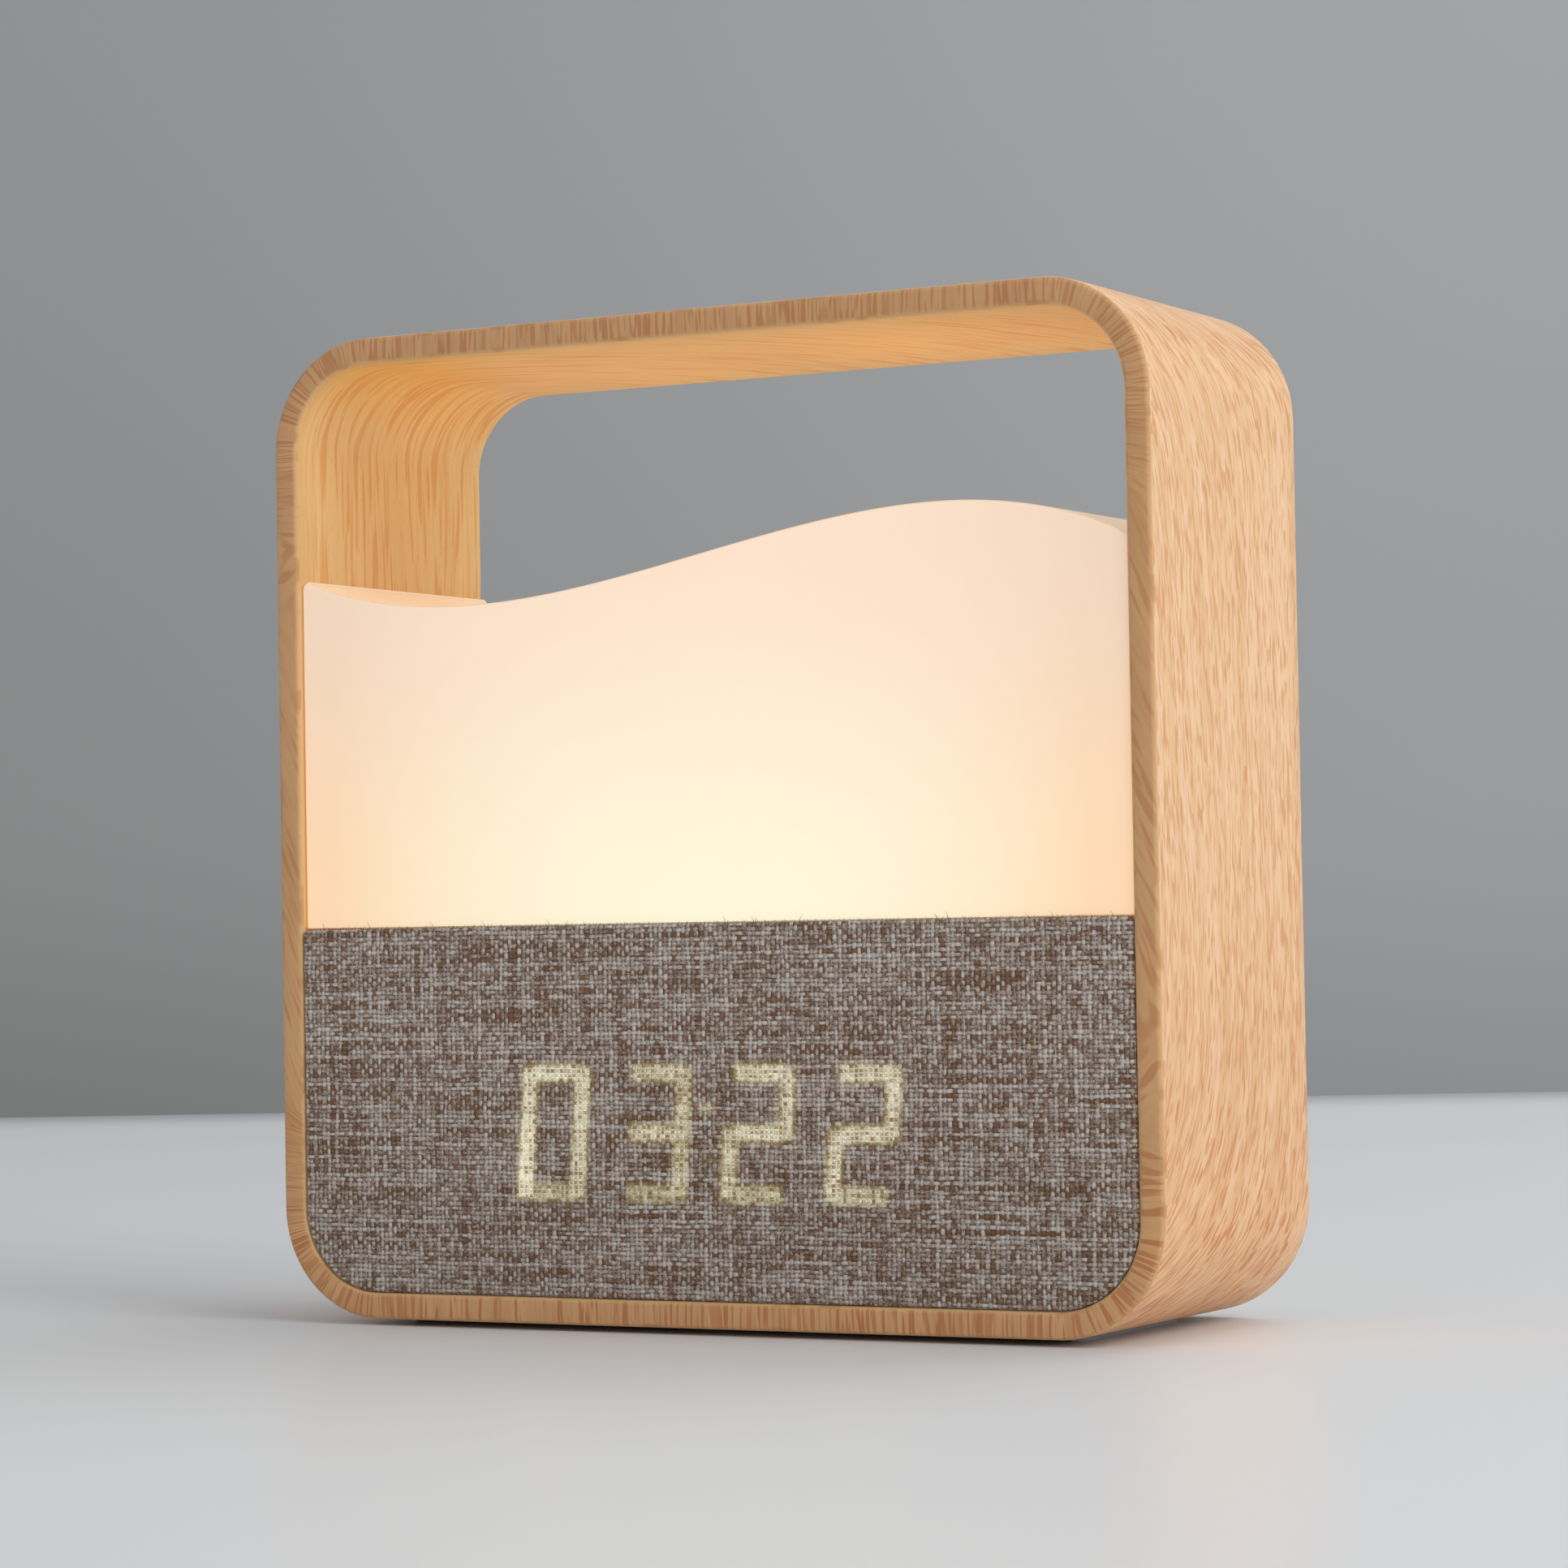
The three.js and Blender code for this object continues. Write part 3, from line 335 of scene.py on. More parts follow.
def tree_of(*values):
    """The node tree of the first of some values that comes from a node"""
    return next(value.tree for value in values if isinstance(value, Value))


def calc(operation, *values, kind="ShaderNodeMath"):
    made = add_node(tree_of(*values), kind, {"operation": operation})
    for socket, value in zip(made.inputs, values):
        put(socket, value)
    return Value(made.outputs[0])


def vector(x, y, z):
    return Value(add_node(tree_of(x, y), "ShaderNodeCombineXYZ", X=x, Y=y, Z=z).outputs[0])


def split(place):
    """The three parts of a vector or colour"""
    return [Value(socket) for socket in add_node(place.tree, "ShaderNodeSeparateXYZ", Vector=place).outputs]


def scaled(value, factor):
    """A vector or colour times a number"""
    made = add_node(value.tree, "ShaderNodeVectorMath", {"operation": "SCALE"}, Scale=factor)
    put(made.inputs[0], value)
    return Value(made.outputs[0])


def noise(place, scale=1.0, detail=2.0, roughness=0.5):
    made = add_node(
        place.tree, "ShaderNodeTexNoise", Vector=place, Scale=scale, Detail=detail, Roughness=roughness,
    )
    return Value(made.outputs["Fac"])


def step(value, low, high):
    """A smooth step from 0 at low to 1 at high"""
    smooth = {"interpolation_type": "SMOOTHSTEP"}
    made = add_node(value.tree, "ShaderNodeMapRange", smooth, Value=value, From_Min=low, From_Max=high)
    return Value(made.outputs[0])


def between(share, first, second):
    """A number that goes from the first to the second as the share goes from 0 to 1"""
    return Value(add_node(share.tree, "ShaderNodeMix", Factor=share, A=first, B=second).outputs[0])


def blend(share, first, second, mode="MIX"):
    """A colour that goes from the first to the second, or is changed by it, as the share goes from 0 to 1"""
    settings = {"data_type": "RGBA", "blend_type": mode}
    made = add_node(tree_of(share, first, second), "ShaderNodeMix", settings)
    for index, value in ((0, share), (6, first), (7, second)):
        put(made.inputs[index], value)
    return Value(made.outputs[2])


def bump(height, distance, strength):
    made = add_node(height.tree, "ShaderNodeBump", Height=height, Distance=distance, Strength=strength)
    return Value(made.outputs["Normal"])


def new_group(name, place, numbers, outputs):
    """A group that takes a place and numbers and puts out numbers.
    Gives the group, its inputs as values, and the node that takes what it puts out."""
    group = bpy.data.node_groups.new(name, "ShaderNodeTree")
    group.interface.new_socket(place, in_out="INPUT", socket_type="NodeSocketVector")
    for label in numbers:
        group.interface.new_socket(label, in_out="INPUT", socket_type="NodeSocketFloat")
    for label in outputs:
        group.interface.new_socket(label, in_out="OUTPUT", socket_type="NodeSocketFloat")
    entry = group.nodes.new("NodeGroupInput")
    given = [Value(entry.outputs[label]) for label in (place, *numbers)]
    return group, given, group.nodes.new("NodeGroupOutput")


def use_group(tree, group, **values):
    """What a group puts out, by name"""
    made = add_node(tree, "ShaderNodeGroup", {"node_tree": group}, **values)
    return {socket.name: Value(socket) for socket in made.outputs}


def new_material(name):
    material = bpy.data.materials.new(name)
    material.use_nodes = True
    tree = material.node_tree
    return material, tree, tree.nodes["Principled BSDF"]


def position_mm(tree):
    """The place on the object, in millimetres; every piece's own origin is the frame's"""
    return scaled(source(tree, "ShaderNodeTexCoord", "Object"), 1000)


# Shader groups

def make_grain_group():
    """Streaks of the wood film, from film coordinates in millimetres: x along the grain, y across it"""
    group, (film, dash_length, dash_width, cover, softness), result = new_group(
        "wood_film_grain", "Film", ["Dash length", "Dash width", "Cover", "Softness"],
        ["Dashes", "Bands", "Pores"],
    )
    along, across, _ = split(film)
    sway = noise(vector(along / 26, across / 15, 7.0), detail=1.0)
    swayed = across + sway * 2.2
    length = along / dash_length
    width = swayed / dash_width
    dash = noise(vector(length, width, 1.3), detail=0.3, roughness=0.3)
    low = 0.61 - cover * 0.16
    strong = step(dash, low, low + softness)
    gate = step(noise(vector(length * 0.35, width * 0.22, 4.7), detail=1.0), 0.35, 0.6)
    evenness = 0.2 + cover * 0.5
    shown = strong * (evenness + gate * (1.0 - evenness))
    weak = step(noise(vector(length * 0.5, width * 1.1, 9.1), detail=0.4), 0.42, 0.72) * 0.24
    bands = noise(vector(along / 70, swayed / 4.5, 2.2))
    pores = step(noise(vector(along / 1.8, swayed / 0.25, 5.5), detail=0.0), 0.66, 0.8)
    feed(result, Dashes=calc("MAXIMUM", shown, weak), Bands=bands, Pores=pores)
    return group


def make_weave_group():
    """A plain weave of mixed yarns, from sheet coordinates in millimetres"""
    group, (sheet,), result = new_group("plain_weave", "Sheet", [], ["Grey", "Height", "Gap", "Shade"])
    across, along, _ = split(sheet)
    wobble = noise(vector(across / 2.6, along / 6, 3.0))
    sway = noise(vector(across / 6, along / 2.6, 8.0))
    u = across / warp_pitch + wobble * 1.1
    v = along / weft_pitch + sway * 1.1
    yarns = []
    for place, other, seed in ((u, v, 11), (v, u, 37)):
        index = calc("FLOOR", place)
        slub = noise(vector(index * 5.3, other * 0.12, seed), detail=1.0)
        ratio = (calc("FRACT", place) - 0.5) / (0.26 + slub * 0.27)
        section = calc("SQRT", calc("MAXIMUM", 1.0 - ratio * ratio, 0.0))
        # Four noises that change from yarn to yarn, or within one, and more or less fast along it
        greys = [
            noise(vector(thread * across_scale, other * along_scale, seed + shift), detail=1.0)
            for thread, across_scale, along_scale, shift in (
                (index, 3.7, 0.11, 5), (index, 7.9, 0.4, 9), (place, 4.0, 1.1, 13), (index, 6.1, 0.03, 21),
            )
        ]
        yarns.append((index, section, greys))
    (warp_index, warp, warp_greys), (weft_index, weft, weft_greys) = yarns
    lift = calc("PINGPONG", warp_index + weft_index, 1.0) * 2.0 - 1.0
    u_wave, v_wave = [calc("SINE", calc("FRACT", place) * math.pi) for place in (u, v)]
    warp_height = warp + lift * v_wave * 0.45
    weft_height = weft + lift * u_wave * -0.45
    top = calc("GREATER_THAN", warp_height, weft_height)
    # Painted shade: each yarn on top darkens towards its edges and, less, where it dives under the next, and
    # the gaps darkest. Shade puts this out.
    rounded = step(between(top, weft, warp), 0.0, 0.95)
    crown = between(top, u_wave, v_wave)
    level_bands = noise(vector(across / 16, along / 2.6, 1.0))
    upright_bands = noise(vector(across / 3, along / 20, 6.0))

    def grey_of(base, greys, weights):
        """A yarn's share of grey, from its own four noises and the bands of the cloth along it"""
        return sum(((grey - 0.5) * weight for grey, weight in zip(greys, weights)), base)

    warp_grey = grey_of(0.52, [*warp_greys, upright_bands], (0.8, 1.9, 1.3, 1.3, 0.15))
    weft_grey = grey_of(0.48, [*weft_greys, level_bands], (0.9, 1.9, 1.3, 2.1, 0.2))
    feed(
        result, Grey=step(between(top, weft_grey, warp_grey), 0.02, 1.0),
        Height=calc("MAXIMUM", warp_height, weft_height),
        Gap=1.0 - step(calc("MINIMUM", warp, weft), 0.1, 0.75),
        Shade=rounded * (0.7 + crown * 0.3),
    )
    return group


def make_moulding_group():
    """Fine texture and slight tone changes of a moulded piece"""
    group, (place, grain_size), result = new_group(
        "moulded_texture", "Place", ["Grain size"], ["Tone", "Height", "Wear"],
    )
    fine = calc("DIVIDE", place, grain_size, kind="ShaderNodeVectorMath")
    wear = noise(place, scale=0.5, detail=4.0, roughness=0.7)
    feed(
        result, Tone=noise(place, scale=0.07, detail=3.0), Height=noise(fine, roughness=0.6),
        Wear=step(wear, 0.45, 0.7),
    )
    return group


grain_group = make_grain_group()
weave_group = make_weave_group()
moulding_group = make_moulding_group()


# Finishes

def wood_film():
    """The band's printed film. Each of its faces has streaks of its own size, strength and colour. Some of
    its colours are painted light: warm lamp light on the inside, a faint highlight along the rounded edges,
    and shade over the outside's bends.
    """
    material, tree, surface = new_material("wood_film")
    film = source(tree, "ShaderNodeUVMap", "UV", {"uv_map": "film"})
    place = position_mm(tree)
    narrow, plain_strip, rim = split(attribute(tree, "zone"))
    inside, upright, overhead = split(attribute(tree, "place"))

    def by_zone(outer, inner, level, standing):
        """A number for the outside, the inside, and the level and standing runs of the narrow faces"""
        wide = outer + inside * (inner - outer)
        thin = level + upright * (standing - level)
        return between(narrow, wide, thin)

    grain = use_group(
        tree, grain_group, Film=film, Dash_length=by_zone(3.6, 14.0, 8.0, 8.0),
        Dash_width=by_zone(1.12, 0.8, 0.47, 0.55), Cover=by_zone(0.72, 0.56, 0.9, 0.56),
        Softness=by_zone(0.13, 0.13, 0.13, 0.16),
    )
    tone = step(grain["Bands"], 0.3, 0.7)
    outer_base = blend(tone, "f0caa3", "e6bb8d")
    # Painted light: the inside's base colours are the film's with the lamp's warm light in them, most of all
    # overhead.
    lamp_lit_inner_base = blend(overhead, blend(tone, "ebcb93", "e7c389"), "efbf72")
    narrow_base = blend(tone, "d8a876", "cf9e6e")
    base = blend(narrow, blend(inside, outer_base, lamp_lit_inner_base), narrow_base)
    streak = blend(narrow, blend(inside, "cf8b5a", "d8904d"), "bb7548")
    _, _, height = split(place)
    # foot grows towards the band's foot: there the outside's streaks are stronger and its colour darker and
    # warmer.
    foot = 1.0 - step(height, -5.0, 75.0)
    outside = 1.0 - calc("MAXIMUM", inside, narrow)
    # turning is highest halfway round each bend of the outside. There the streaks are stronger, and the
    # colour is darkened as painted shade.
    turning = calc("PINGPONG", overhead, 0.5) * outside
    strength = by_zone(0.66, 0.55, 0.66, 0.5) + foot * 0.2 + turning * 0.4
    color = blend(grain["Dashes"] * strength, base, streak)
    color = blend(foot * outside, color, (0.93, 0.86, 0.79, 1), "MULTIPLY")
    color = blend(turning, color, (0.9, 0.88, 0.87, 1), "MULTIPLY")
    color = blend(plain_strip * 0.85, color, "deb47c")
    # Painted highlight: a faint lighter line along the band's rounded edges.
    color = blend(rim * 0.16, color, "e4bd88")
    rim_spots = step(noise(place, scale=0.24, detail=1.0), 0.56, 0.68)
    color = blend(rim * rim_spots * 0.5, color, "b98750")
    color = blend(grain["Pores"] * by_zone(0.06, 0.16, 0.06, 0.06), color, "b87848")
    relief = grain["Bands"] * 0.3 - grain["Dashes"]
    feed(
        surface, Base_Color=color, Roughness=0.46 + grain["Dashes"] * 0.12,
        Normal=bump(relief, mm(0.02), 0.5), Specular_IOR_Level=0.32,
    )
    return material


def milky_plastic():
    """The lit shade: brightest low in the middle, over the lamp, and rosier towards its top and ends"""
    material, tree, surface = new_material("milky_plastic")
    place = position_mm(tree)
    x, _, z = split(place)
    # In millimetres: the lamp's middle, how far its light reaches to the right and to the left, and the
    # height from which and over which it fades
    lamp_middle, right_reach, left_reach = 2, 62, 67
    fade_start, fade_height = 64, 52
    from_middle = x - lamp_middle
    aside = calc("MAXIMUM", from_middle / right_reach, from_middle / -left_reach)
    end_share = calc("MINIMUM", calc("POWER", aside, 2.4), 1.0)
    cloud = noise(place, scale=0.05)
    rise = (z - fade_start) / fade_height + (cloud - 0.5) * 0.12
    top_share = step(rise, -0.1, 1.1)
    middle = blend(top_share, (0.62, 0.61, 0.45, 1), (0.585, 0.428, 0.34, 1))
    ends = blend(top_share, (0.605, 0.38, 0.205, 1), (0.475, 0.34, 0.26, 1))
    _, _, facing_up = split(source(tree, "ShaderNodeTexCoord", "Normal"))
    lid = step(facing_up, 0.3, 0.9)
    light = blend(lid * 0.75, blend(end_share, middle, ends), (0.33, 0.255, 0.17, 1))
    texture = use_group(tree, moulding_group, Place=place, Grain_size=0.5)
    feed(
        surface, Base_Color=blend(texture["Tone"], "c9b7a0", "cebda7"), Roughness=0.42 - lid * 0.2,
        Emission_Color=light, Emission_Strength=1.0, Normal=bump(texture["Height"], mm(0.01), 0.25),
    )
    return material


def front_cloth_finish():
    """The woven front, with the display's light in the bars and, more faintly, round them"""
    material, tree, surface = new_material("cloth")
    sheet = source(tree, "ShaderNodeUVMap", "UV", {"uv_map": "sheet"})
    weave = use_group(tree, weave_group, Sheet=sheet)
    fibre = noise(sheet, scale=9.0, roughness=0.7)
    yarn = blend(weave["Grey"], "7a5437", "dad1c8")
    fuzzy = blend(fibre * 0.25, yarn, "8c7a6b")
    _, _, height = split(position_mm(tree))
    # Painted shade: the weave's shade on the yarns, and the cloth a little darker towards its foot.
    shade = (0.33 + weave["Shade"] * 0.82) * (0.9 + step(height, 4.0, 46.0) * 0.1)
    core, halo, _ = split(attribute(tree, "light"))
    glow = blend(step(core, 0.25, 0.85), (0.3, 0.275, 0.11, 1), (0.53, 0.52, 0.4, 1))
    openness = weave["Gap"] + weave["Grey"] * 0.45
    lit = blend(core * (0.18 + openness), no_light, glow)
    ring = blend(halo, no_light, (0.08, 0.063, 0.012, 1))
    feed(
        surface, Base_Color=scaled(fuzzy, shade), Roughness=0.92, Specular_IOR_Level=0.15, Sheen_Weight=0.12,
        Sheen_Roughness=0.5, Emission_Color=blend(1.0, lit, ring, "ADD"), Emission_Strength=1.0,
        Normal=bump(weave["Height"] + fibre * 0.3, mm(0.22), 1.0),
    )
    return material


def moulded(name, color, roughness, grain, depth, worn=None, metallic=0.0):
    """A moulded, sprayed or plated finish. Its texture has a grain size and a depth in millimetres,
    and patches of its worn colour where there is one."""
    material, tree, surface = new_material(name)
    texture = use_group(tree, moulding_group, Place=position_mm(tree), Grain_size=grain)
    red, green, blue, _ = tint(color)
    tone = blend(texture["Tone"], (0.9 * red, 0.9 * green, 0.9 * blue, 1), color)
    if worn is not None:
        tone = blend(texture["Wear"] * 0.25, tone, worn)
    feed(
        surface, Base_Color=tone, Roughness=roughness - 0.04 + texture["Wear"] * 0.08, Metallic=metallic,
        Normal=bump(texture["Height"], mm(depth), 0.6),
    )
    return material


def lit_bars():
    """Bars of the display that are on"""
    material = moulded("lit_bars", "fff3bf", 0.4, 0.4, 0.01)
    tree = material.node_tree
    texture = use_group(tree, moulding_group, Place=position_mm(tree), Grain_size=2.0)
    glow = blend(texture["Tone"], (0.85, 0.74, 0.42, 1), (0.95, 0.86, 0.55, 1))
    feed(tree.nodes["Principled BSDF"], Emission_Color=glow, Emission_Strength=1.0)
    return material


no_light = (0, 0, 0, 1)
finishes = {"wood_film": wood_film(), "milky_plastic": milky_plastic(), "cloth": front_cloth_finish()}
for name, *look in (
    ("yarn_ends", "7d634c", 0.9, 0.2, 0.02, "a79b91"),
    ("black_rubber", "565d61", 0.7, 0.25, 0.03, "6d757a"),
    ("rubber_with_painted_light", "b2b7b9", 0.6, 0.25, 0.02, "a0a5a7"),
    ("cover_plastic", "e4ddd2", 0.55, 0.22, 0.03),
    ("button_plastic", "f0ebe2", 0.4, 0.5, 0.008),
    ("dark_plastic", "3a3836", 0.6, 0.25, 0.02),
    ("white_plastic", "f1f0ec", 0.5, 0.4, 0.01),
    ("segment_plastic", "d8d4c0", 0.4, 0.4, 0.01),
    ("green_board", "2f6b4a", 0.45, 0.6, 0.01, "3c7f5a"),
    ("white_board", "eeeeea", 0.5, 0.6, 0.01),
    ("led_resin", "ffe7a8", 0.3, 0.5, 0.01),
    ("steel", "b9bcc0", 0.35, 0.15, 0.01, "8f9296", 1.0),
    ("paper_cone", "26262a", 0.9, 0.2, 0.04),
    ("cell_wrap", "3f7fb8", 0.35, 1.2, 0.01),
    ("lead_jacket", "b3342c", 0.5, 0.4, 0.01),
    ("sign_ink", "8d867c", 0.6, 0.3, 0.005),
    ("contact_metal", "d9b25a", 0.3, 0.2, 0.005, None, 1.0),
):
    finishes[name] = moulded(name, *look)
finishes["lit_bars"] = lit_bars()


# Wood-look band

def band_stations():
    """Stations round the outside of the band, from the middle of its underside up its right side.
    Each is (x, z, outward x, outward z, distance along)."""
    half = band_half_width
    half_z = (band_high.z - band_low.z) / 2
    stretch = mm(2.5)
    arc_steps = 20
    corners = [(1, -1, -90), (1, 1, 0), (-1, 1, 90), (-1, -1, 180)]
    path = []
    for side_x, side_z, start in corners:
        centre = (side_x * (half - band_corner), band_middle + side_z * (half_z - band_corner))
        for i in range(arc_steps + 1):
            angle = math.radians(start + 90 * i / arc_steps)
            nx, nz = math.cos(angle), math.sin(angle)
            path.append((centre[0] + nx * band_corner, centre[1] + nz * band_corner, nx, nz))
    full = []
    for here, after in zip(path, path[1:] + path[:1]):
        full.append(here)
        gap = math.dist(here[:2], after[:2])
        if gap > 2 * stretch:
            between_corners = line_points(here[:2], after[:2], int(gap / stretch))[1:-1]
            full += [(*point, *here[2:]) for point in between_corners]
    start = min(range(len(full)), key=lambda i: (round(full[i][1], 6), abs(full[i][0])))
    full = full[start:] + full[:start]
    travelled = 0
    stations = []
    for i, here in enumerate(full):
        if i:
            travelled += math.dist(here[:2], full[i - 1][:2])
        stations.append((*here, travelled))
    return stations, travelled + math.dist(full[0][:2], full[-1][:2])


def band_section():
    """Points across the band: (depth, distance in from the outside, zone), with the zone of the face after"""
    half = band_half_depth
    flat = half - band_edge
    deep = band_wall - band_edge
    wide_steps = 16
    narrow_steps = 2
    edge_steps = 4
    runs = [
        (line_points((-flat, 0), (flat, 0), wide_steps), "outer"),
        (arc(flat, band_edge, band_edge, -90, 0, edge_steps), "rear"),
        (line_points((half, band_edge), (half, deep), narrow_steps), "rear"),
        (arc(flat, deep, band_edge, 0, 90, edge_steps), "rear"),
        (line_points((flat, band_wall), (-flat, band_wall), wide_steps), "inner"),
        (arc(-flat, deep, band_edge, 90, 180, edge_steps), "front"),
        (line_points((-half, deep), (-half, band_edge), narrow_steps), "front"),
        (arc(-flat, band_edge, band_edge, 180, 270, edge_steps), "front"),
    ]
    return [(y, inset, zone) for points, zone in runs for y, inset in points[:-1]]


def eased(value, low, high):
    share = min(max((value - low) / (high - low), 0), 1)
    return share * share * (3 - 2 * share)


# How far the grain on the outside moves back for each millimetre up a side, near its foot, in the middle
# and at its shoulder, the heights in millimetres where one gives way to the next, and the distances from
# the clock's middle over which the lean sets in on the level runs
foot_lean = 1.9
middle_lean = -0.12
shoulder_lean = -1.25
foot_end = 58
middle_start = 75
shoulder = (116, 150)
lean_sets_in = (34, 64)


def outer_lean(x, z, nx):
    """The grain's lean at a place on the outside, which faces nx to the right"""
    height = (z - band_low.z) * 1000
    lean = foot_lean * (1 - eased(height, 0, foot_end)) ** 1.3
    lean += middle_lean * eased(height, foot_end, middle_start) + shoulder_lean * eased(height, *shoulder)
    lean *= 0.3 + 0.7 * abs(nx)
    side = 1 if x >= 0 else -1
    return lean * side * eased(abs(x) * 1000, *lean_sets_in)


# The ceiling's grain runs in arcs round a point behind its left end: its depth, and how far the arcs reach
arc_centre = 36
arc_reach = 128


# The marks on the upright narrow faces: half of such a run's length, and their lean soon after a corner and
# on the rest of the run
half_run = 51
start_lean = 0.7
run_lean = -2.3


def run_slant(x, z, upright):
    """The marks' lean at a place on an upright narrow face"""
    passed = half_run + (z - band_middle) * 1000 * (1 if x >= 0 else -1)
    start = start_lean * (1 - eased(abs(passed - 8), 4, 14))
    rest = run_lean * eased(passed, 16, 32)
    return (start + rest) * upright


def uprightness(z, nx, straight, over):
    """1 along the straight part of a side and 0 over the corners, which begin that far from its middle"""
    return abs(nx) * (1 - eased(abs(z - band_middle) * 1000, straight, over))


def film_tables(stations):
    """A row of film measures for each station, in the order in which film_place takes them apart:
    how far the grain has run and drifted on the outside, the distance from the ceiling's left end, and,
    for the narrow faces, the way across the grain, the marks' slant and their scale, then the outside's."""
    rows = []
    left_corner = band_corner - band_half_width + mm(0.001)
    left_end = min(t for x, _, _, nz, t in stations if nz > 0.999 and x < left_corner)
    along = drift = across = 0
    before = None
    for x, z, nx, nz, travelled in stations:
        lean = outer_lean(x, z, nx)
        upright = uprightness(z, nx, 38, 60)
        slant = run_slant(x, z, upright)
        spread = 1 + 2.4 * upright
        if before is not None:
            gone = (travelled - before) * 1000
            along += gone * math.sqrt(1 + (0.6 * lean) ** 2)
            drift += gone * lean
            across += gone / spread
        before = travelled
        from_left = (left_end - travelled) * 1000
        finer = 1 + 0.45 * eased(nz, 0.2, 1)
        rows.append((along, drift, from_left, across, slant / spread, 1 + 1.6 * upright, finer))
    return rows


# The grain on the outside sweeps less at the rear than at the front
rear_sweep = 0.22
sweep_growth = 0.78

# Each face of the band has a stretch of the film to itself. Its start, in millimetres:
outer_across = 57
inner_along = 900
front_film = (1800, 37)
rear_film = (2400, 700)


def film_place(zone, row, y, inset):
    """Where a point lies on the printed film, in millimetres: (along the grain, across it)"""
    along, drift, from_left, across, slant, shorten, finer = row
    depth = y * 1000
    if zone == "outer":
        size = band_half_depth * 2000
        front = 0.5 - depth / size
        sweep = rear_sweep + sweep_growth * front
        start = (sweep * math.exp(sweep_growth * drift / size) - rear_sweep) / sweep_growth
        return along, (outer_across - size * start) * finer
    if zone == "inner":
        away = arc_centre - depth
        if not 0 < from_left < arc_reach:
            return inner_along + from_left, away
        radius = math.hypot(from_left, away)
        return inner_along + radius * math.atan2(from_left, away), radius
    start_along, start_across = front_film if zone == "front" else rear_film
    return start_along + inset * 1000 * shorten, start_across + across + slant * inset * 1000


def wood_band():
    """The band. Its film's coordinates run on all round, so the grain has one seam, below the middle."""
    stations, total = band_stations()
    section = band_section()
    rows = film_tables([*stations, (*stations[0][:4], total)])
    builder = bmesh.new()
    film = builder.loops.layers.uv.new("film")
    rings = []
    for x, z, nx, nz, _ in stations:
        ring = []
        for y, inset, _ in section:
            ring.append(builder.verts.new((x - nx * inset, y, z - nz * inset)))
        rings.append(ring)
    count = len(section)
    for i, ring in enumerate(rings):
        after = rings[(i + 1) % len(rings)]
        for j in range(count):
            k = (j + 1) % count
            zone = section[j][2]
            face = builder.faces.new((ring[j], after[j], after[k], ring[k]))
            for loop, (station, point) in zip(face.loops, ((i, j), (i + 1, j), (i + 1, k), (i, k))):
                y, inset, _ = section[point]
                loop[film].uv = film_place(zone, rows[station], y, inset)
    mesh = mesh_from("wood_band_film", builder)
    mark_zones(mesh, section, stations)
    add_object("band_in_wood_film", mesh, "wood_film", ["wood_band"])


def mark_zones(mesh, section, stations):
    """Two sets of marks on the points. zone: narrow faces, the plain strip inside, the rims.
    place: the inside, how upright the run is, and how far it is overhead."""
    zones = mesh.attributes.new("zone", "FLOAT_COLOR", "POINT")
    places = mesh.attributes.new("place", "FLOAT_COLOR", "POINT")
    count = len(section)
    strip = mm(2.6)
    for i in range(len(mesh.vertices)):
        y, inset, _ = section[i % count]
        _, z, nx, nz, _ = stations[i // count]
        narrow = abs(y) > band_half_depth - band_edge * 0.5
        near_front = band_half_depth - band_edge + y
        inside = inset > band_wall - band_edge * 0.3
        plain = inside and -band_edge < near_front < strip
        corner = min(abs(inset - band_edge * 0.3), abs(inset - band_wall + band_edge * 0.3))
        on_rim = abs(y) > band_half_depth - band_edge * 0.8 and corner < band_edge * 0.35
        zones.data[i].color = (float(narrow), float(plain), float(on_rim), 1.0)
        places.data[i].color = (float(inside), uprightness(z, nx, 44, 64), eased(nz, 0.2, 0.9), 1.0)


wood_band()


# Lamp shade

def wave_points(steps):
    """The wave from the right end to the left, as (x, z)"""
    handles = [
        Vector((shade_half, wave_end)), Vector((inner_half - crest_reach, wave_end + crest_rise)),
        Vector((dip_reach - inner_half, wave_end - dip_drop)), Vector((-shade_half, wave_end)),
    ]
    points = []
    for i in range(steps + 1):
        t = i / steps
        u = 1 - t
        weights = (u ** 3, 3 * u * u * t, 3 * u * t * t, t ** 3)
        point = sum((handle * weight for handle, weight in zip(handles, weights)), Vector((0, 0)))
        points.append((point.x, point.y))
    return points


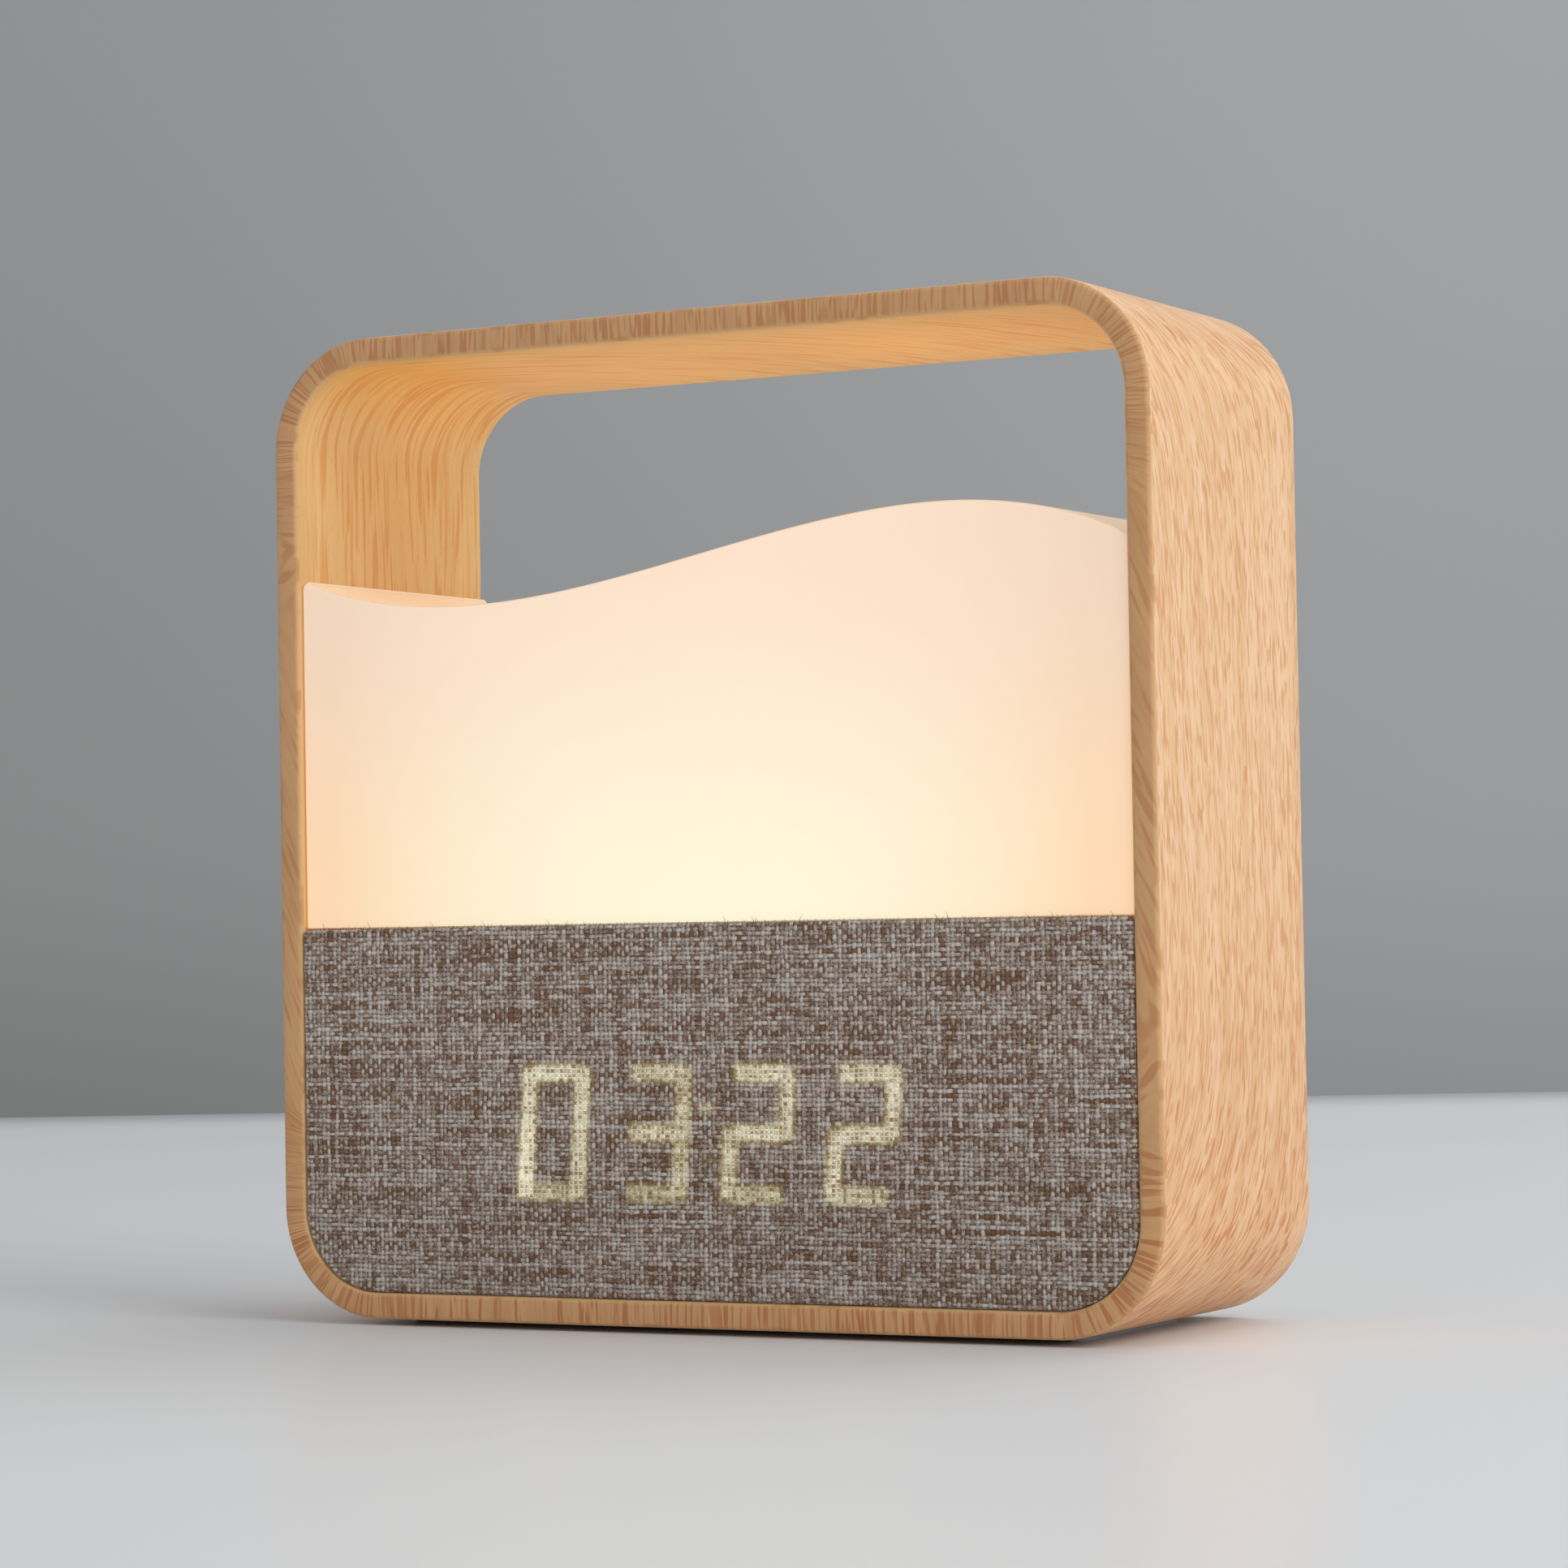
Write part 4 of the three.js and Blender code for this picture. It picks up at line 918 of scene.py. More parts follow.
def lamp_shade():
    """A shell that is open below, with soft rims in front and behind"""
    half = shade_half
    high = shade_high_corner
    wave = wave_points(96)
    outline = [(half, shade_low.z), (half, wave[0][1] - high)]
    outline += arc(half - high, wave[0][1] - high, high, 15, 80, 3)
    outline += [(x, z) for x, z in wave if -half + shade_corner * 0.9 < x < half - high * 0.9]
    left_z = wave[-1][1]
    outline += arc(-half + shade_corner, left_z - shade_corner, shade_corner, 100, 165, 4)
    outline += [(-half, left_z - shade_corner), (-half, shade_low.z)]
    builder = bmesh.new()
    slab(builder, outline, shade_low.y, shade_high.y)
    touch = mm(0.001)

    def at_bottom(part):
        return all(abs(vert.co.z - shade_low.z) < touch for vert in part.verts)

    rims = []
    for edge in builder.edges:
        across = abs(edge.verts[0].co.y - edge.verts[1].co.y)
        if across < touch and not at_bottom(edge):
            rims.append(edge)
    bottom = [face for face in builder.faces if at_bottom(face)]
    bmesh.ops.delete(builder, geom=bottom, context="FACES_ONLY")
    bmesh.ops.bevel(
        builder, geom=rims, offset=shade_edge, segments=4, profile=0.5, affect="EDGES", clamp_overlap=True,
    )
    mesh = sharpen(mesh_from("lamp_shade_shell", builder), 50)
    piece = add_object("milky_lamp_shade", mesh, "milky_plastic", ["lamp_shade"])
    wall = piece.modifiers.new("wall", "SOLIDIFY")
    wall.thickness = shade_wall
    wall.offset = -1
    level = piece.modifiers.new("level_faces", "WEIGHTED_NORMAL")
    level.keep_sharp = True


lamp_shade()


# Display: lit bars behind the cloth, and the light that they leave on it

bar_places = {
    "top": ((-1, 1), (1, 1)), "middle": ((-1, 0), (1, 0)), "bottom": ((-1, -1), (1, -1)),
    "upper_left": ((-1, 0), (-1, 1)), "upper_right": ((1, 0), (1, 1)),
    "lower_left": ((-1, -1), (-1, 0)), "lower_right": ((1, -1), (1, 0)),
}
bars_on = {
    "0": ["top", "bottom", "upper_left", "upper_right", "lower_left", "lower_right"],
    "2": ["top", "middle", "bottom", "upper_right", "lower_left"],
    "3": ["top", "middle", "bottom", "upper_right", "lower_right"],
}


def digit_centre(index):
    return display_x + (index - (len(shown_time) - 1) / 2) * digit_pitch


def bar_ends(index, bar):
    """The two ends of a bar's centre line, as (x, z)"""
    reach = Vector((digit_width / 2 - digit_stroke / 2, digit_height / 2 - digit_stroke / 2))
    ends = []
    for column, row in bar_places[bar]:
        rise = row * reach.y
        lean = digit_lean * rise / (digit_height / 2)
        ends.append(Vector((digit_centre(index) + column * reach.x + lean, display_z + rise)))
    return ends


def gaps_to(point, start, end):
    """How far a point is from a line, sideways, and past its ends"""
    line = end - start
    ahead = (point - start).dot(line) / line.length
    aside = abs((point.x - start.x) * line.y - (point.y - start.y) * line.x) / line.length
    return aside, max(-ahead, ahead - line.length, 0)


# How far from a bar's centre line its light on the cloth begins to fade, and where it ends
core_aside = (mm(0.85), mm(1.65))
core_past = (0, mm(0.9))
halo_aside = (mm(1.1), mm(2.4))
halo_past = (mm(0.3), mm(1.6))


def light_on_cloth(x, z, lines):
    """(lit share, halo share) that the display leaves at a place on the cloth"""
    point = Vector((x, z))
    core = halo = 0
    for start, end, power in lines:
        aside, past = gaps_to(point, start, end)
        if aside < halo_aside[1] and past < halo_past[1]:
            core = max(core, power * (1 - eased(aside, *core_aside)) * (1 - eased(past, *core_past)))
            halo = max(halo, power * (1 - eased(aside, *halo_aside)) * (1 - eased(past, *halo_past)))
    return core, halo


def lit_lines():
    """Centre lines of the bars that are on, and of the colon's two dots.
    Each is (start, end, how brightly it comes through the cloth)."""
    digit_power = [0.81, 0.69, 0.77, 0.79]
    brightest = 1.1  # the first digit's lower left bar
    dot_power = {1: 0.34, -1: 0.13}  # the upper and the lower dot
    bar_power = {
        "top": 0.86, "upper_left": 0.9, "upper_right": 0.8, "middle": 0.9, "lower_left": 0.84,
        "lower_right": 0.8, "bottom": 0.66,
    }
    lines = []
    for index, digit in enumerate(shown_time):
        for bar in bars_on[digit]:
            start, end = bar_ends(index, bar)
            start = start - light_shift
            end = end - light_shift
            along = (end - start).normalized()
            gap = level_end_gap if bar in ("top", "middle", "bottom") else upright_end_gap
            power = digit_power[index] * bar_power[bar]
            if index == 0 and bar == "lower_left":
                power = brightest
            lines.append((start + along * gap, end - along * gap, power))
    for side, power in dot_power.items():
        dot = Vector((display_x, display_z + side * colon_spread / 2)) - light_shift
        lines.append((dot, dot + Vector((0, mm(0.2))), power))
    return lines


def display_digits():
    """Each lens plate with its seven bars, of which the lit ones have their own finish"""
    for index, digit in enumerate(shown_time):
        node = f"digit_lens_{index + 1}"
        low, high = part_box(node)
        builder = bmesh.new()
        plate_front = high.y - plate_thickness
        outline = rounded_outline(low.x, high.x, low.z, high.z, mm(0.5), steps=4)
        slab(builder, outline, plate_front, high.y)
        for bar in bar_places:
            start, end = bar_ends(index, bar)
            along = (end - start).normalized()
            across = Vector((-along.y, along.x))
            tip = along * bar_tip
            wide = across * digit_stroke / 2
            shoulder_in = along * (bar_tip + digit_stroke / 2)
            shape = [
                start + tip, start + shoulder_in - wide, end - shoulder_in - wide,
                end - tip, end - shoulder_in + wide, start + shoulder_in + wide,
            ]
            lit = int(bar in bars_on[digit])
            slab(builder, [(p.x, p.y) for p in shape], low.y, plate_front + mm(0.1), lit)
        mesh = mesh_from(f"digit_{index + 1}", builder, smooth=False)
        materials = [finishes["segment_plastic"], finishes["lit_bars"]]
        add_object(f"digit_{index + 1}_bars", mesh, "segment_plastic", [node], materials=materials)


display_digits()


# Cloth front: one sheet stretched over the panel and turned in at its edges

# Its flat face, inside the soft edge
face_half = cloth_high.x + cloth_fullness - cloth_roll
face_low = cloth_low.z - cloth_fullness + cloth_roll
face_high = cloth_high.z - cloth_roll
low_corner = band_corner - band_wall - (inner_half - face_half)
top_corner = mm(0.45)


def face_levels():
    """Heights of the rows of the face's grid, close together in its round corners"""
    low_steps = 26
    middle_steps = 120
    top_steps = 4
    lower = face_low + low_corner
    upper = face_high - top_corner
    levels = []
    for i in range(low_steps):
        levels.append(face_low + low_corner * (1 - math.cos(math.pi / 2 * i / low_steps)))
    for i in range(middle_steps):
        levels.append(lower + (upper - lower) * i / middle_steps)
    for i in range(top_steps + 1):
        levels.append(upper + top_corner * math.sin(math.pi / 2 * i / top_steps))
    return levels


def face_span(z):
    """Half of the face's width at a height"""
    if z < face_low + low_corner:
        drop = face_low + low_corner - z
        return face_half - low_corner + math.sqrt(max(low_corner ** 2 - drop ** 2, 0))
    rise = max(z - (face_high - top_corner), 0)
    return face_half - top_corner + math.sqrt(max(top_corner ** 2 - rise ** 2, 0))


def flat_face(builder, spread_out):
    """Makes the face as a grid and gives the points of its border, anticlockwise.
    The dictionary spread_out takes each point's place on the sheet when it is laid flat."""
    columns = 300
    grid = []
    for z in face_levels():
        span = face_span(z)
        line = []
        for i in range(columns + 1):
            x = -span + 2 * span * i / columns
            vert = builder.verts.new((x, cloth_low.y, z))
            spread_out[vert] = (x, z)
            line.append(vert)
        grid.append(line)
    for lower, upper in zip(grid, grid[1:]):
        for i in range(columns):
            builder.faces.new((lower[i], lower[i + 1], upper[i + 1], upper[i]))
    right = [line[columns] for line in grid[1:]]
    left = [line[0] for line in grid[-2:0:-1]]
    return [*grid[0], *right, *grid[-1][-2::-1], *left]


def turn_in(builder, border, steps, spread_out):
    """Carries the border on in steps: (how far outwards, how far back, how far along the cloth)"""
    count = len(border)
    normals = []
    for i in range(count):
        tangent = border[(i + 1) % count].co - border[i - 1].co
        normals.append(Vector((tangent.z, 0, -tangent.x)).normalized())
    ring = border
    for out, deep, travelled in steps:
        after = []
        for vert, normal in zip(border, normals):
            made = builder.verts.new(vert.co + normal * out + Vector((0, deep, 0)))
            spread_out[made] = (vert.co.x + normal.x * travelled, vert.co.z + normal.z * travelled)
            after.append(made)
        for i in range(count):
            j = (i + 1) % count
            builder.faces.new((ring[j], ring[i], after[i], after[j]))
        ring = after


def front_cloth():
    """A flat face whose border turns round a soft edge and runs back between panel and band"""
    builder = bmesh.new()
    sheet = builder.loops.layers.uv.new("sheet")
    shift = 100  # keeps the sheet's own coordinates above 0
    spread_out = {}
    border = flat_face(builder, spread_out)
    angles = [math.pi / 8 * k for k in range(1, 5)]
    steps = [(cloth_roll * math.sin(a), cloth_roll * (1 - math.cos(a)), cloth_roll * a) for a in angles]
    behind = cloth_high.y - cloth_low.y
    turned_in = cloth_roll * math.pi / 2 + behind - cloth_roll
    turn_in(builder, border, [*steps, (cloth_roll, behind, turned_in)], spread_out)
    for face in builder.faces:
        face.smooth = True
        for loop in face.loops:
            x, z = spread_out[loop.vert]
            loop[sheet].uv = (x * 1000 + shift, z * 1000 + shift)
    mesh = bpy.data.meshes.new("front_cloth_sheet")
    builder.to_mesh(mesh)
    builder.free()
    marks = mesh.attributes.new("light", "FLOAT_COLOR", "POINT")
    lines = lit_lines()
    for vert, mark in zip(mesh.vertices, marks.data):
        in_front = vert.co.y < cloth_low.y + cloth_roll
        core, halo = light_on_cloth(vert.co.x, vert.co.z, lines) if in_front else (0, 0)
        mark.color = (core, halo, 0, 1)
    piece = add_object("front_cloth_sheet", mesh, "cloth", ["front_cloth"])
    thickness = piece.modifiers.new("thickness", "SOLIDIFY")
    thickness.thickness = sheet_thickness
    thickness.offset = -1
    flat = (2 * (face_half + turned_in), face_high - face_low + 2 * turned_in)
    threads = frayed_threads()


def frayed_threads():
    """Short ends of yarn that stand up from the cut edge along the top of the cloth"""
    seed = random.Random(7)
    builder = bmesh.new()
    thread_radius = mm(0.06)
    count = 230
    clear = mm(1)  # of the cloth's ends
    for i in range(count):
        x = cloth_low.x + clear + (cloth_high.x - cloth_low.x - 2 * clear) * (i + seed.random()) / count
        length = mm(seed.uniform(0.25, 0.6) if seed.random() < 0.94 else seed.uniform(0.8, 1.3))
        lean = seed.uniform(-0.9, 0.9)
        rings = []
        for share in (0, 1 / 3, 2 / 3, 1):
            centre = Vector((
                x + lean * length * share * share, cloth_low.y + mm(0.22) - mm(0.12) * share,
                cloth_high.z - mm(0.15) + length * share,
            ))
            radius = thread_radius * (1 - 0.55 * share)
            corners = [(radius * math.cos(a), radius * math.sin(a), 0) for a in (0, 2.1, 4.2)]
            rings.append([builder.verts.new(centre + Vector(corner)) for corner in corners])
        skin(builder, rings)
    mesh = mesh_from("frayed_threads", builder)
    return add_object("frayed_threads", mesh, "cloth", materials=[finishes["yarn_ends"]])


front_cloth()


# Rubber pad

def base_pad():
    """The pad. Its ends, which face left and right, are paler than its faces: painted light."""
    builder = bmesh.new()
    outline = rounded_outline(pad_low.x, pad_high.x, pad_low.y, pad_high.y, mm(3), steps=8)
    prism(builder, outline, pad_low.z, pad_high.z)
    rims = [e for e in builder.edges if abs(e.verts[0].co.z - e.verts[1].co.z) < mm(0.001)]
    bmesh.ops.bevel(builder, geom=rims, offset=mm(0.2), segments=3, profile=0.5, affect="EDGES")
    builder.normal_update()
    for face in builder.faces:
        # Painted light: the faces that look left and right get the paler rubber.
        face.material_index = 1 if abs(face.normal.x) > 0.6 else 0
    mesh = sharpen(mesh_from("base_pad", builder), 50)
    materials = [finishes["black_rubber"], finishes["rubber_with_painted_light"]]
    add_object("rubber_pad", mesh, "black_rubber", ["base_pad"], materials=materials)


base_pad()


# Rear cover

def hole_mesh(outline, y0, y1):
    """A closed cutter through y0 to y1"""
    builder = bmesh.new()
    slab(builder, outline, y0, y1)
    return mesh_from("hole", builder)


def soft_edges(piece, width, degrees=35, segments=3):
    """Rounds the sharp edges of a finished piece"""
    modifier = piece.modifiers.new("soft_edges", "BEVEL")
    modifier.width = width
    modifier.segments = segments
    modifier.limit_method = "ANGLE"
    modifier.angle_limit = math.radians(degrees)
    modifier.harden_normals = True


def cover_cutters(inner_face):
    """Closed shapes of what is cut out of the cover: holes for the buttons, the slider, the inlet, the sound
    and the screws, and seats for the screws' heads"""
    spare = mm(1)
    through = (inner_face - spare, cover_high.y + spare)
    holes = []
    for name in buttons:
        _, _, x, z = box_and_middle(name)
        holes.append(circle(x, z, button_radius + fit))
    _, _, x, z = box_and_middle("alarm_slider")
    knob_low = x - slider_length / 2
    holes.append(rounded_outline(
        knob_low - fit, knob_low + slider_length + slider_travel + fit,
        z - slider_height / 2 - fit, z + slider_height / 2 + fit, mm(0.5), steps=4,
    ))
    low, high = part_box("power_inlet")
    holes.append(rounded_outline(low.x - fit, high.x + fit, low.z - fit, high.z + fit, mm(0.7), steps=6))
    for i in range(vent_count):
        x = (i - (vent_count - 1) / 2) * vent_pitch
        holes.append(rounded_outline(
            x - vent_width / 2, x + vent_width / 2, vent_centre - vent_height / 2,
            vent_centre + vent_height / 2, vent_width * 0.49, steps=8,
        ))
    cutters = [hole_mesh(hole, *through) for hole in holes]
    seat = cover_high.y - cover_thickness / 2
    for name in cover_screws:
        _, _, x, z = box_and_middle(name)
        cutters.append(hole_mesh(circle(x, z, screw_shank_radius + fit, 32), *through))
        cutters.append(hole_mesh(circle(x, z, screw_head_radius + fit), seat, cover_high.y + spare))
    return cutters


def rear_cover():
    """A plate with holes for all that passes through it and two bosses inside for the control board"""
    inner_face = cover_high.y - cover_thickness
    low_corner = band_corner - band_wall - (inner_half - cover_high.x)
    outline = rounded_outline(
        cover_low.x, cover_high.x, cover_low.z, cover_high.z, low_corner, mm(0.6), steps=18,
    )
    builder = bmesh.new()
    slab(builder, outline, inner_face, cover_high.y)
    mesh = mesh_from("rear_cover_plate", builder)
    piece = add_object("rear_cover_plate", mesh, "cover_plastic", ["rear_cover"])
    cut(piece, cover_cutters(inner_face))
    builder = bmesh.new()
    builder.from_mesh(piece.data)
    height = inner_face - cover_low.y + mm(0.2)
    profile = [(boss_bore, 0), (boss_radius, 0), (boss_radius, height), (boss_bore, height), (boss_bore, 0)]
    for x in (-boss_reach, boss_reach):
        lathe(builder, profile, (x, cover_low.y, boss_z), sides=40)
    bmesh.ops.remove_doubles(builder, verts=builder.verts, dist=mm(0.001))
    for face in builder.faces:
        face.smooth = True
    builder.to_mesh(piece.data)
    builder.free()
    soft_edges(piece, mm(0.28))


def cover_screw(name):
    """A round head with a cross recess, on a plain shank with a pointed end"""
    low, high, x, z = box_and_middle(name)
    head_base = high.y - screw_head_height
    builder = bmesh.new()
    dome = [
        (screw_head_radius * share, high.y - screw_dome * share * share)
        for share in (1, 0.86, 0.7, 0.52, 0.34, 0.17, 0)
    ]
    profile = [
        (0, low.y), (screw_shank_radius, low.y + screw_point), (screw_shank_radius, head_base),
        (screw_head_radius, head_base), *dome,
    ]
    lathe(builder, profile, (x, 0, z), sides=40)
    mesh = sharpen(mesh_from(name, builder), 40)
    piece = add_object(name + "_with_cross", mesh, "steel", [name])
    arm, half, recess = mm(1.3), mm(0.32), mm(1.5)
    cutters = []
    for wide, tall in ((arm, half), (half, arm)):
        outline = rounded_outline(x - wide, x + wide, z - tall, z + tall, mm(0.1), steps=2)
        cutters.append(hole_mesh(outline, high.y - recess, high.y + mm(1)))
    cut(piece, cutters)
    sharpen(piece.data, 40)


# Buttons: each with a shallow dish and a raised sign of its own

def turned(x, z, degrees):
    """A place turned about the origin"""
    turn = math.radians(degrees)
    return x * math.cos(turn) - z * math.sin(turn), x * math.sin(turn) + z * math.cos(turn)


def flat_bar(middle, half_length, half_width):
    """Outline of a short bar along X with round ends"""
    low, high = middle - half_length, middle + half_length
    return rounded_outline(low, high, -half_width, half_width, half_width * 0.9, steps=3)


def sign_outlines(kind):
    """A button's sign, drawn round the origin: closed outlines, and rings given by their two radii"""
    stroke = mm(0.27)
    if kind == "minus_button":
        return [flat_bar(0, mm(1.6), stroke)], []
    if kind == "plus_button":
        a, b = mm(1.6), stroke
        corner = [(a, -b), (a, b), (b, b)]
        return [[turned(x, z, 90 * i) for i in range(4) for x, z in corner]], []
    if kind == "light_button":
        ray = flat_bar(mm(1.75), mm(0.38), mm(0.16))
        rays = [[turned(x, z, 45 * i) for x, z in ray] for i in range(8)]
        return [circle(0, 0, mm(0.85), 28), *rays], []
    half, long_hand, short_hand = mm(0.17), mm(1.1), mm(0.85)
    hands = [
        (-half, -half), (short_hand, -half), (short_hand, half), (half, half), (half, long_hand),
        (-half, long_hand),
    ]
    return [hands], [(mm(1.45), mm(1.8))]


def raised_sign(name, x, z, sunk, proud):
    """A button's sign round its middle, from a depth within the cap to just below its rim"""
    outlines, rings = sign_outlines(name)
    builder = bmesh.new()
    for outline in outlines:
        slab(builder, [(x + a, z + b) for a, b in outline], sunk, proud)
    for inner, outer in rings:
        profile = [(inner, sunk), (outer, sunk), (outer, proud), (inner, proud), (inner, sunk)]
        lathe(builder, profile, (x, 0, z), sides=48)
    bmesh.ops.remove_doubles(builder, verts=builder.verts, dist=mm(0.001))
    for face in builder.faces:
        face.material_index = 1
    return mesh_from("sign", builder, smooth=False)


def push_button(name):
    """A plunger, a flange behind the cover, and a cap with a round rim and a dish that holds the sign"""
    low, high, x, z = box_and_middle(name)
    top = high.y
    flange_high = cover_high.y - cover_thickness - fit
    flange_low = flange_high - button_flange
    flange_radius = (high.x - low.x) / 2
    chamfer = mm(0.1)
    rim = mm(0.45)
    dish = mm(0.32)
    dish_radius = mm(3.65)
    basin_radius = mm(3.5)
    builder = bmesh.new()
    edge = [
        (button_radius - rim + rim * math.cos(a), top - rim + rim * math.sin(a))
        for a in (math.pi / 2 * k / 6 for k in range(7))
    ]
    basin = [
        (basin_radius * share, top - dish * (1 - share * share))
        for share in (0.94, 0.8, 0.62, 0.42, 0.2, 0)
    ]
    profile = [
        (0, low.y), (button_plunger, low.y), (button_plunger, flange_low),
        (flange_radius - chamfer, flange_low), (flange_radius, flange_low + chamfer),
        (flange_radius, flange_high - chamfer), (flange_radius - chamfer, flange_high),
        (button_radius, flange_high), *edge, (dish_radius, top), *basin,
    ]
    lathe(builder, profile, (x, 0, z), sides=72)
    mesh = sharpen(mesh_from(name + "_cap", builder), 50)
    materials = [finishes["button_plastic"], finishes["sign_ink"]]
    add_object(name + "_cap", mesh, "button_plastic", [name], body=name, materials=materials)
    sign = raised_sign(name, x, z, top - dish - mm(0.1), top - mm(0.05))
    builder = bmesh.new()
    builder.from_mesh(mesh)
    builder.from_mesh(sign)
    builder.to_mesh(mesh)
    builder.free()
    bpy.data.meshes.remove(sign)


def alarm_slider():
    """A ribbed knob on a flange, with the stem that reaches the switch"""
    low, high, x, z = box_and_middle("alarm_slider")
    flange_high = cover_high.y - cover_thickness - fit
    flange_low = flange_high - slider_flange
    knob = slider_length / 2
    ribs = 5
    rib_pitch = slider_length / ribs
    rib_height = mm(0.3)
    outline = [(x - knob, flange_high - mm(0.2)), (x + knob, flange_high - mm(0.2))]
    for i in range(ribs):
        right = x + knob - i * rib_pitch
        for share, rise in ((0, 0), (0.2, 0.85), (0.38, 1), (0.62, 1), (0.8, 0.85)):
            outline.append((right - share * rib_pitch, high.y - rib_height * (1 - rise)))
    outline.append((x - knob, high.y - rib_height))
    builder = bmesh.new()
    prism(builder, outline, z - slider_height / 2, z + slider_height / 2)
    plate = rounded_outline(low.x, high.x, low.z, high.z, mm(0.6), steps=4)
    slab(builder, plate, flange_low, flange_high)
    half = slider_stem / 2
    stem = rounded_outline(x - half, x + half, z - half, z + half, mm(0.2))
    slab(builder, stem, low.y, flange_low + mm(0.1))
    mesh = mesh_from("alarm_slider_knob", builder)
    piece = add_object("alarm_slider_knob", mesh, "button_plastic", ["alarm_slider"], body="alarm_slider")
    soft_edges(piece, mm(0.14), 40, 2)


def power_inlet():
    """A rounded steel shell with a dark tongue that carries small contacts"""
    low, high, x, z = box_and_middle("power_inlet")
    floor = high.y - inlet_depth
    corner = mm(0.7)
    builder = bmesh.new()
    outer = rounded_outline(low.x, high.x, low.z, high.z, corner, steps=6)
    inner = rounded_outline(
        low.x + inlet_wall, high.x - inlet_wall, low.z + inlet_wall, high.z - inlet_wall,
        corner - inlet_wall, steps=6,
    )
    rings = []
    lip = mm(0.1)
    for points, y in ((outer, low.y), (outer, high.y - lip), (inner, high.y), (inner, floor)):
        rings.append([builder.verts.new((a, y, b)) for a, b in points])
    skin(builder, rings)
    tongue_end = high.y - tongue_setback
    half = tongue_thickness / 2
    tongue = rounded_outline(
        x - tongue_half_width, x + tongue_half_width, z - half, z + half, mm(0.15), steps=2,
    )
    slab(builder, tongue, floor - mm(0.2), tongue_end, material=1)
    contacts = 8
    contact_pitch = mm(0.7)
    wide, thick = mm(0.2), mm(0.04)
    for level in (z - half, z + half):
        for i in range(contacts):
            a = x + (i - (contacts - 1) / 2) * contact_pitch
            strip = [(a + u * wide, level + v * thick) for u, v in ((-1, -1), (1, -1), (1, 1), (-1, 1))]
            slab(builder, strip, floor, tongue_end - mm(0.3), material=2)
    mesh = sharpen(mesh_from("power_inlet_shell", builder), 40)
    materials = [finishes["steel"], finishes["dark_plastic"], finishes["contact_metal"]]
    add_object("power_inlet_shell", mesh, "steel", ["power_inlet"], materials=materials)


buttons = ["light_button", "set_button", "minus_button", "plus_button"]
cover_screws = [f"cover_screw_{i}" for i in (1, 2, 3, 4)]
rear_cover()
for screw in cover_screws:
    cover_screw(screw)
for button in buttons:
    push_button(button)
alarm_slider()
power_inlet()


# Carried-over nodes get the finish of their slot

def dress_nodes():
    slot_of = {part["node"]: part["material_slot"] for part in frame["record"]["subparts"]}
    for name, node in frame["nodes"].items():
        node.data.materials.clear()
        node.data.materials.append(finishes[slot_of[name]])


dress_nodes()


# Stage, lights and camera

# The camera, as fitted to the band's edges: its place, its angles and its focal length in the photo's pixels
camera_place = Vector((0.33681, -0.61679, 0.06084))
camera_yaw = math.radians(28.604)
camera_pitch = math.radians(1.758)
camera_roll = math.radians(-0.961)
focal_pixels = 5626.79
photo_width = 1932
to_right = Vector((math.cos(camera_yaw), math.sin(camera_yaw), 0))
level_ahead = Vector((-math.sin(camera_yaw), math.cos(camera_yaw), 0))

# The table top, measured along the view from the middle of the clock
table_far = 0.84
table_reach = 3.0
# The span of the painted shade at the table's far edge
far_edge_shade = (mm(110), mm(40))  # before and past its far edge, where it turns darker


def table_top():
    """A pale table that ends behind the clock. Painted shade makes it a little darker towards its far edge,
    where it turns down.
    """
    material, tree, surface = new_material("pale_table")
    place = position_mm(tree)
    x, y, _ = split(place)
    cloud = noise(place, scale=0.004, detail=3.0)
    away = x * level_ahead.x + y * level_ahead.y
    before, past = far_edge_shade
    # Painted shade towards the far edge
    rounded = step(away, (table_far - before) * 1000, (table_far + past) * 1000)
    grain = noise(place, scale=0.6, detail=3.0, roughness=0.7)
    feed(
        surface, Base_Color=blend(rounded, blend(cloud, "e2e4e6", "eaecee"), "a2a5a7"), Roughness=0.36,
        Specular_IOR_Level=0.16, Normal=bump(grain, mm(0.05), 0.15),
    )
    builder = bmesh.new()
    corners = [(-1, -table_reach), (1, -table_reach), (1, table_far), (-1, table_far)]
    builder.faces.new([builder.verts.new(to_right * table_reach * a + level_ahead * b) for a, b in corners])
    mesh = mesh_from("table_top", builder)
    mesh.materials.append(material)
    table = bpy.data.objects.new("table_top", mesh)
    bpy.context.scene.collection.objects.link(table)


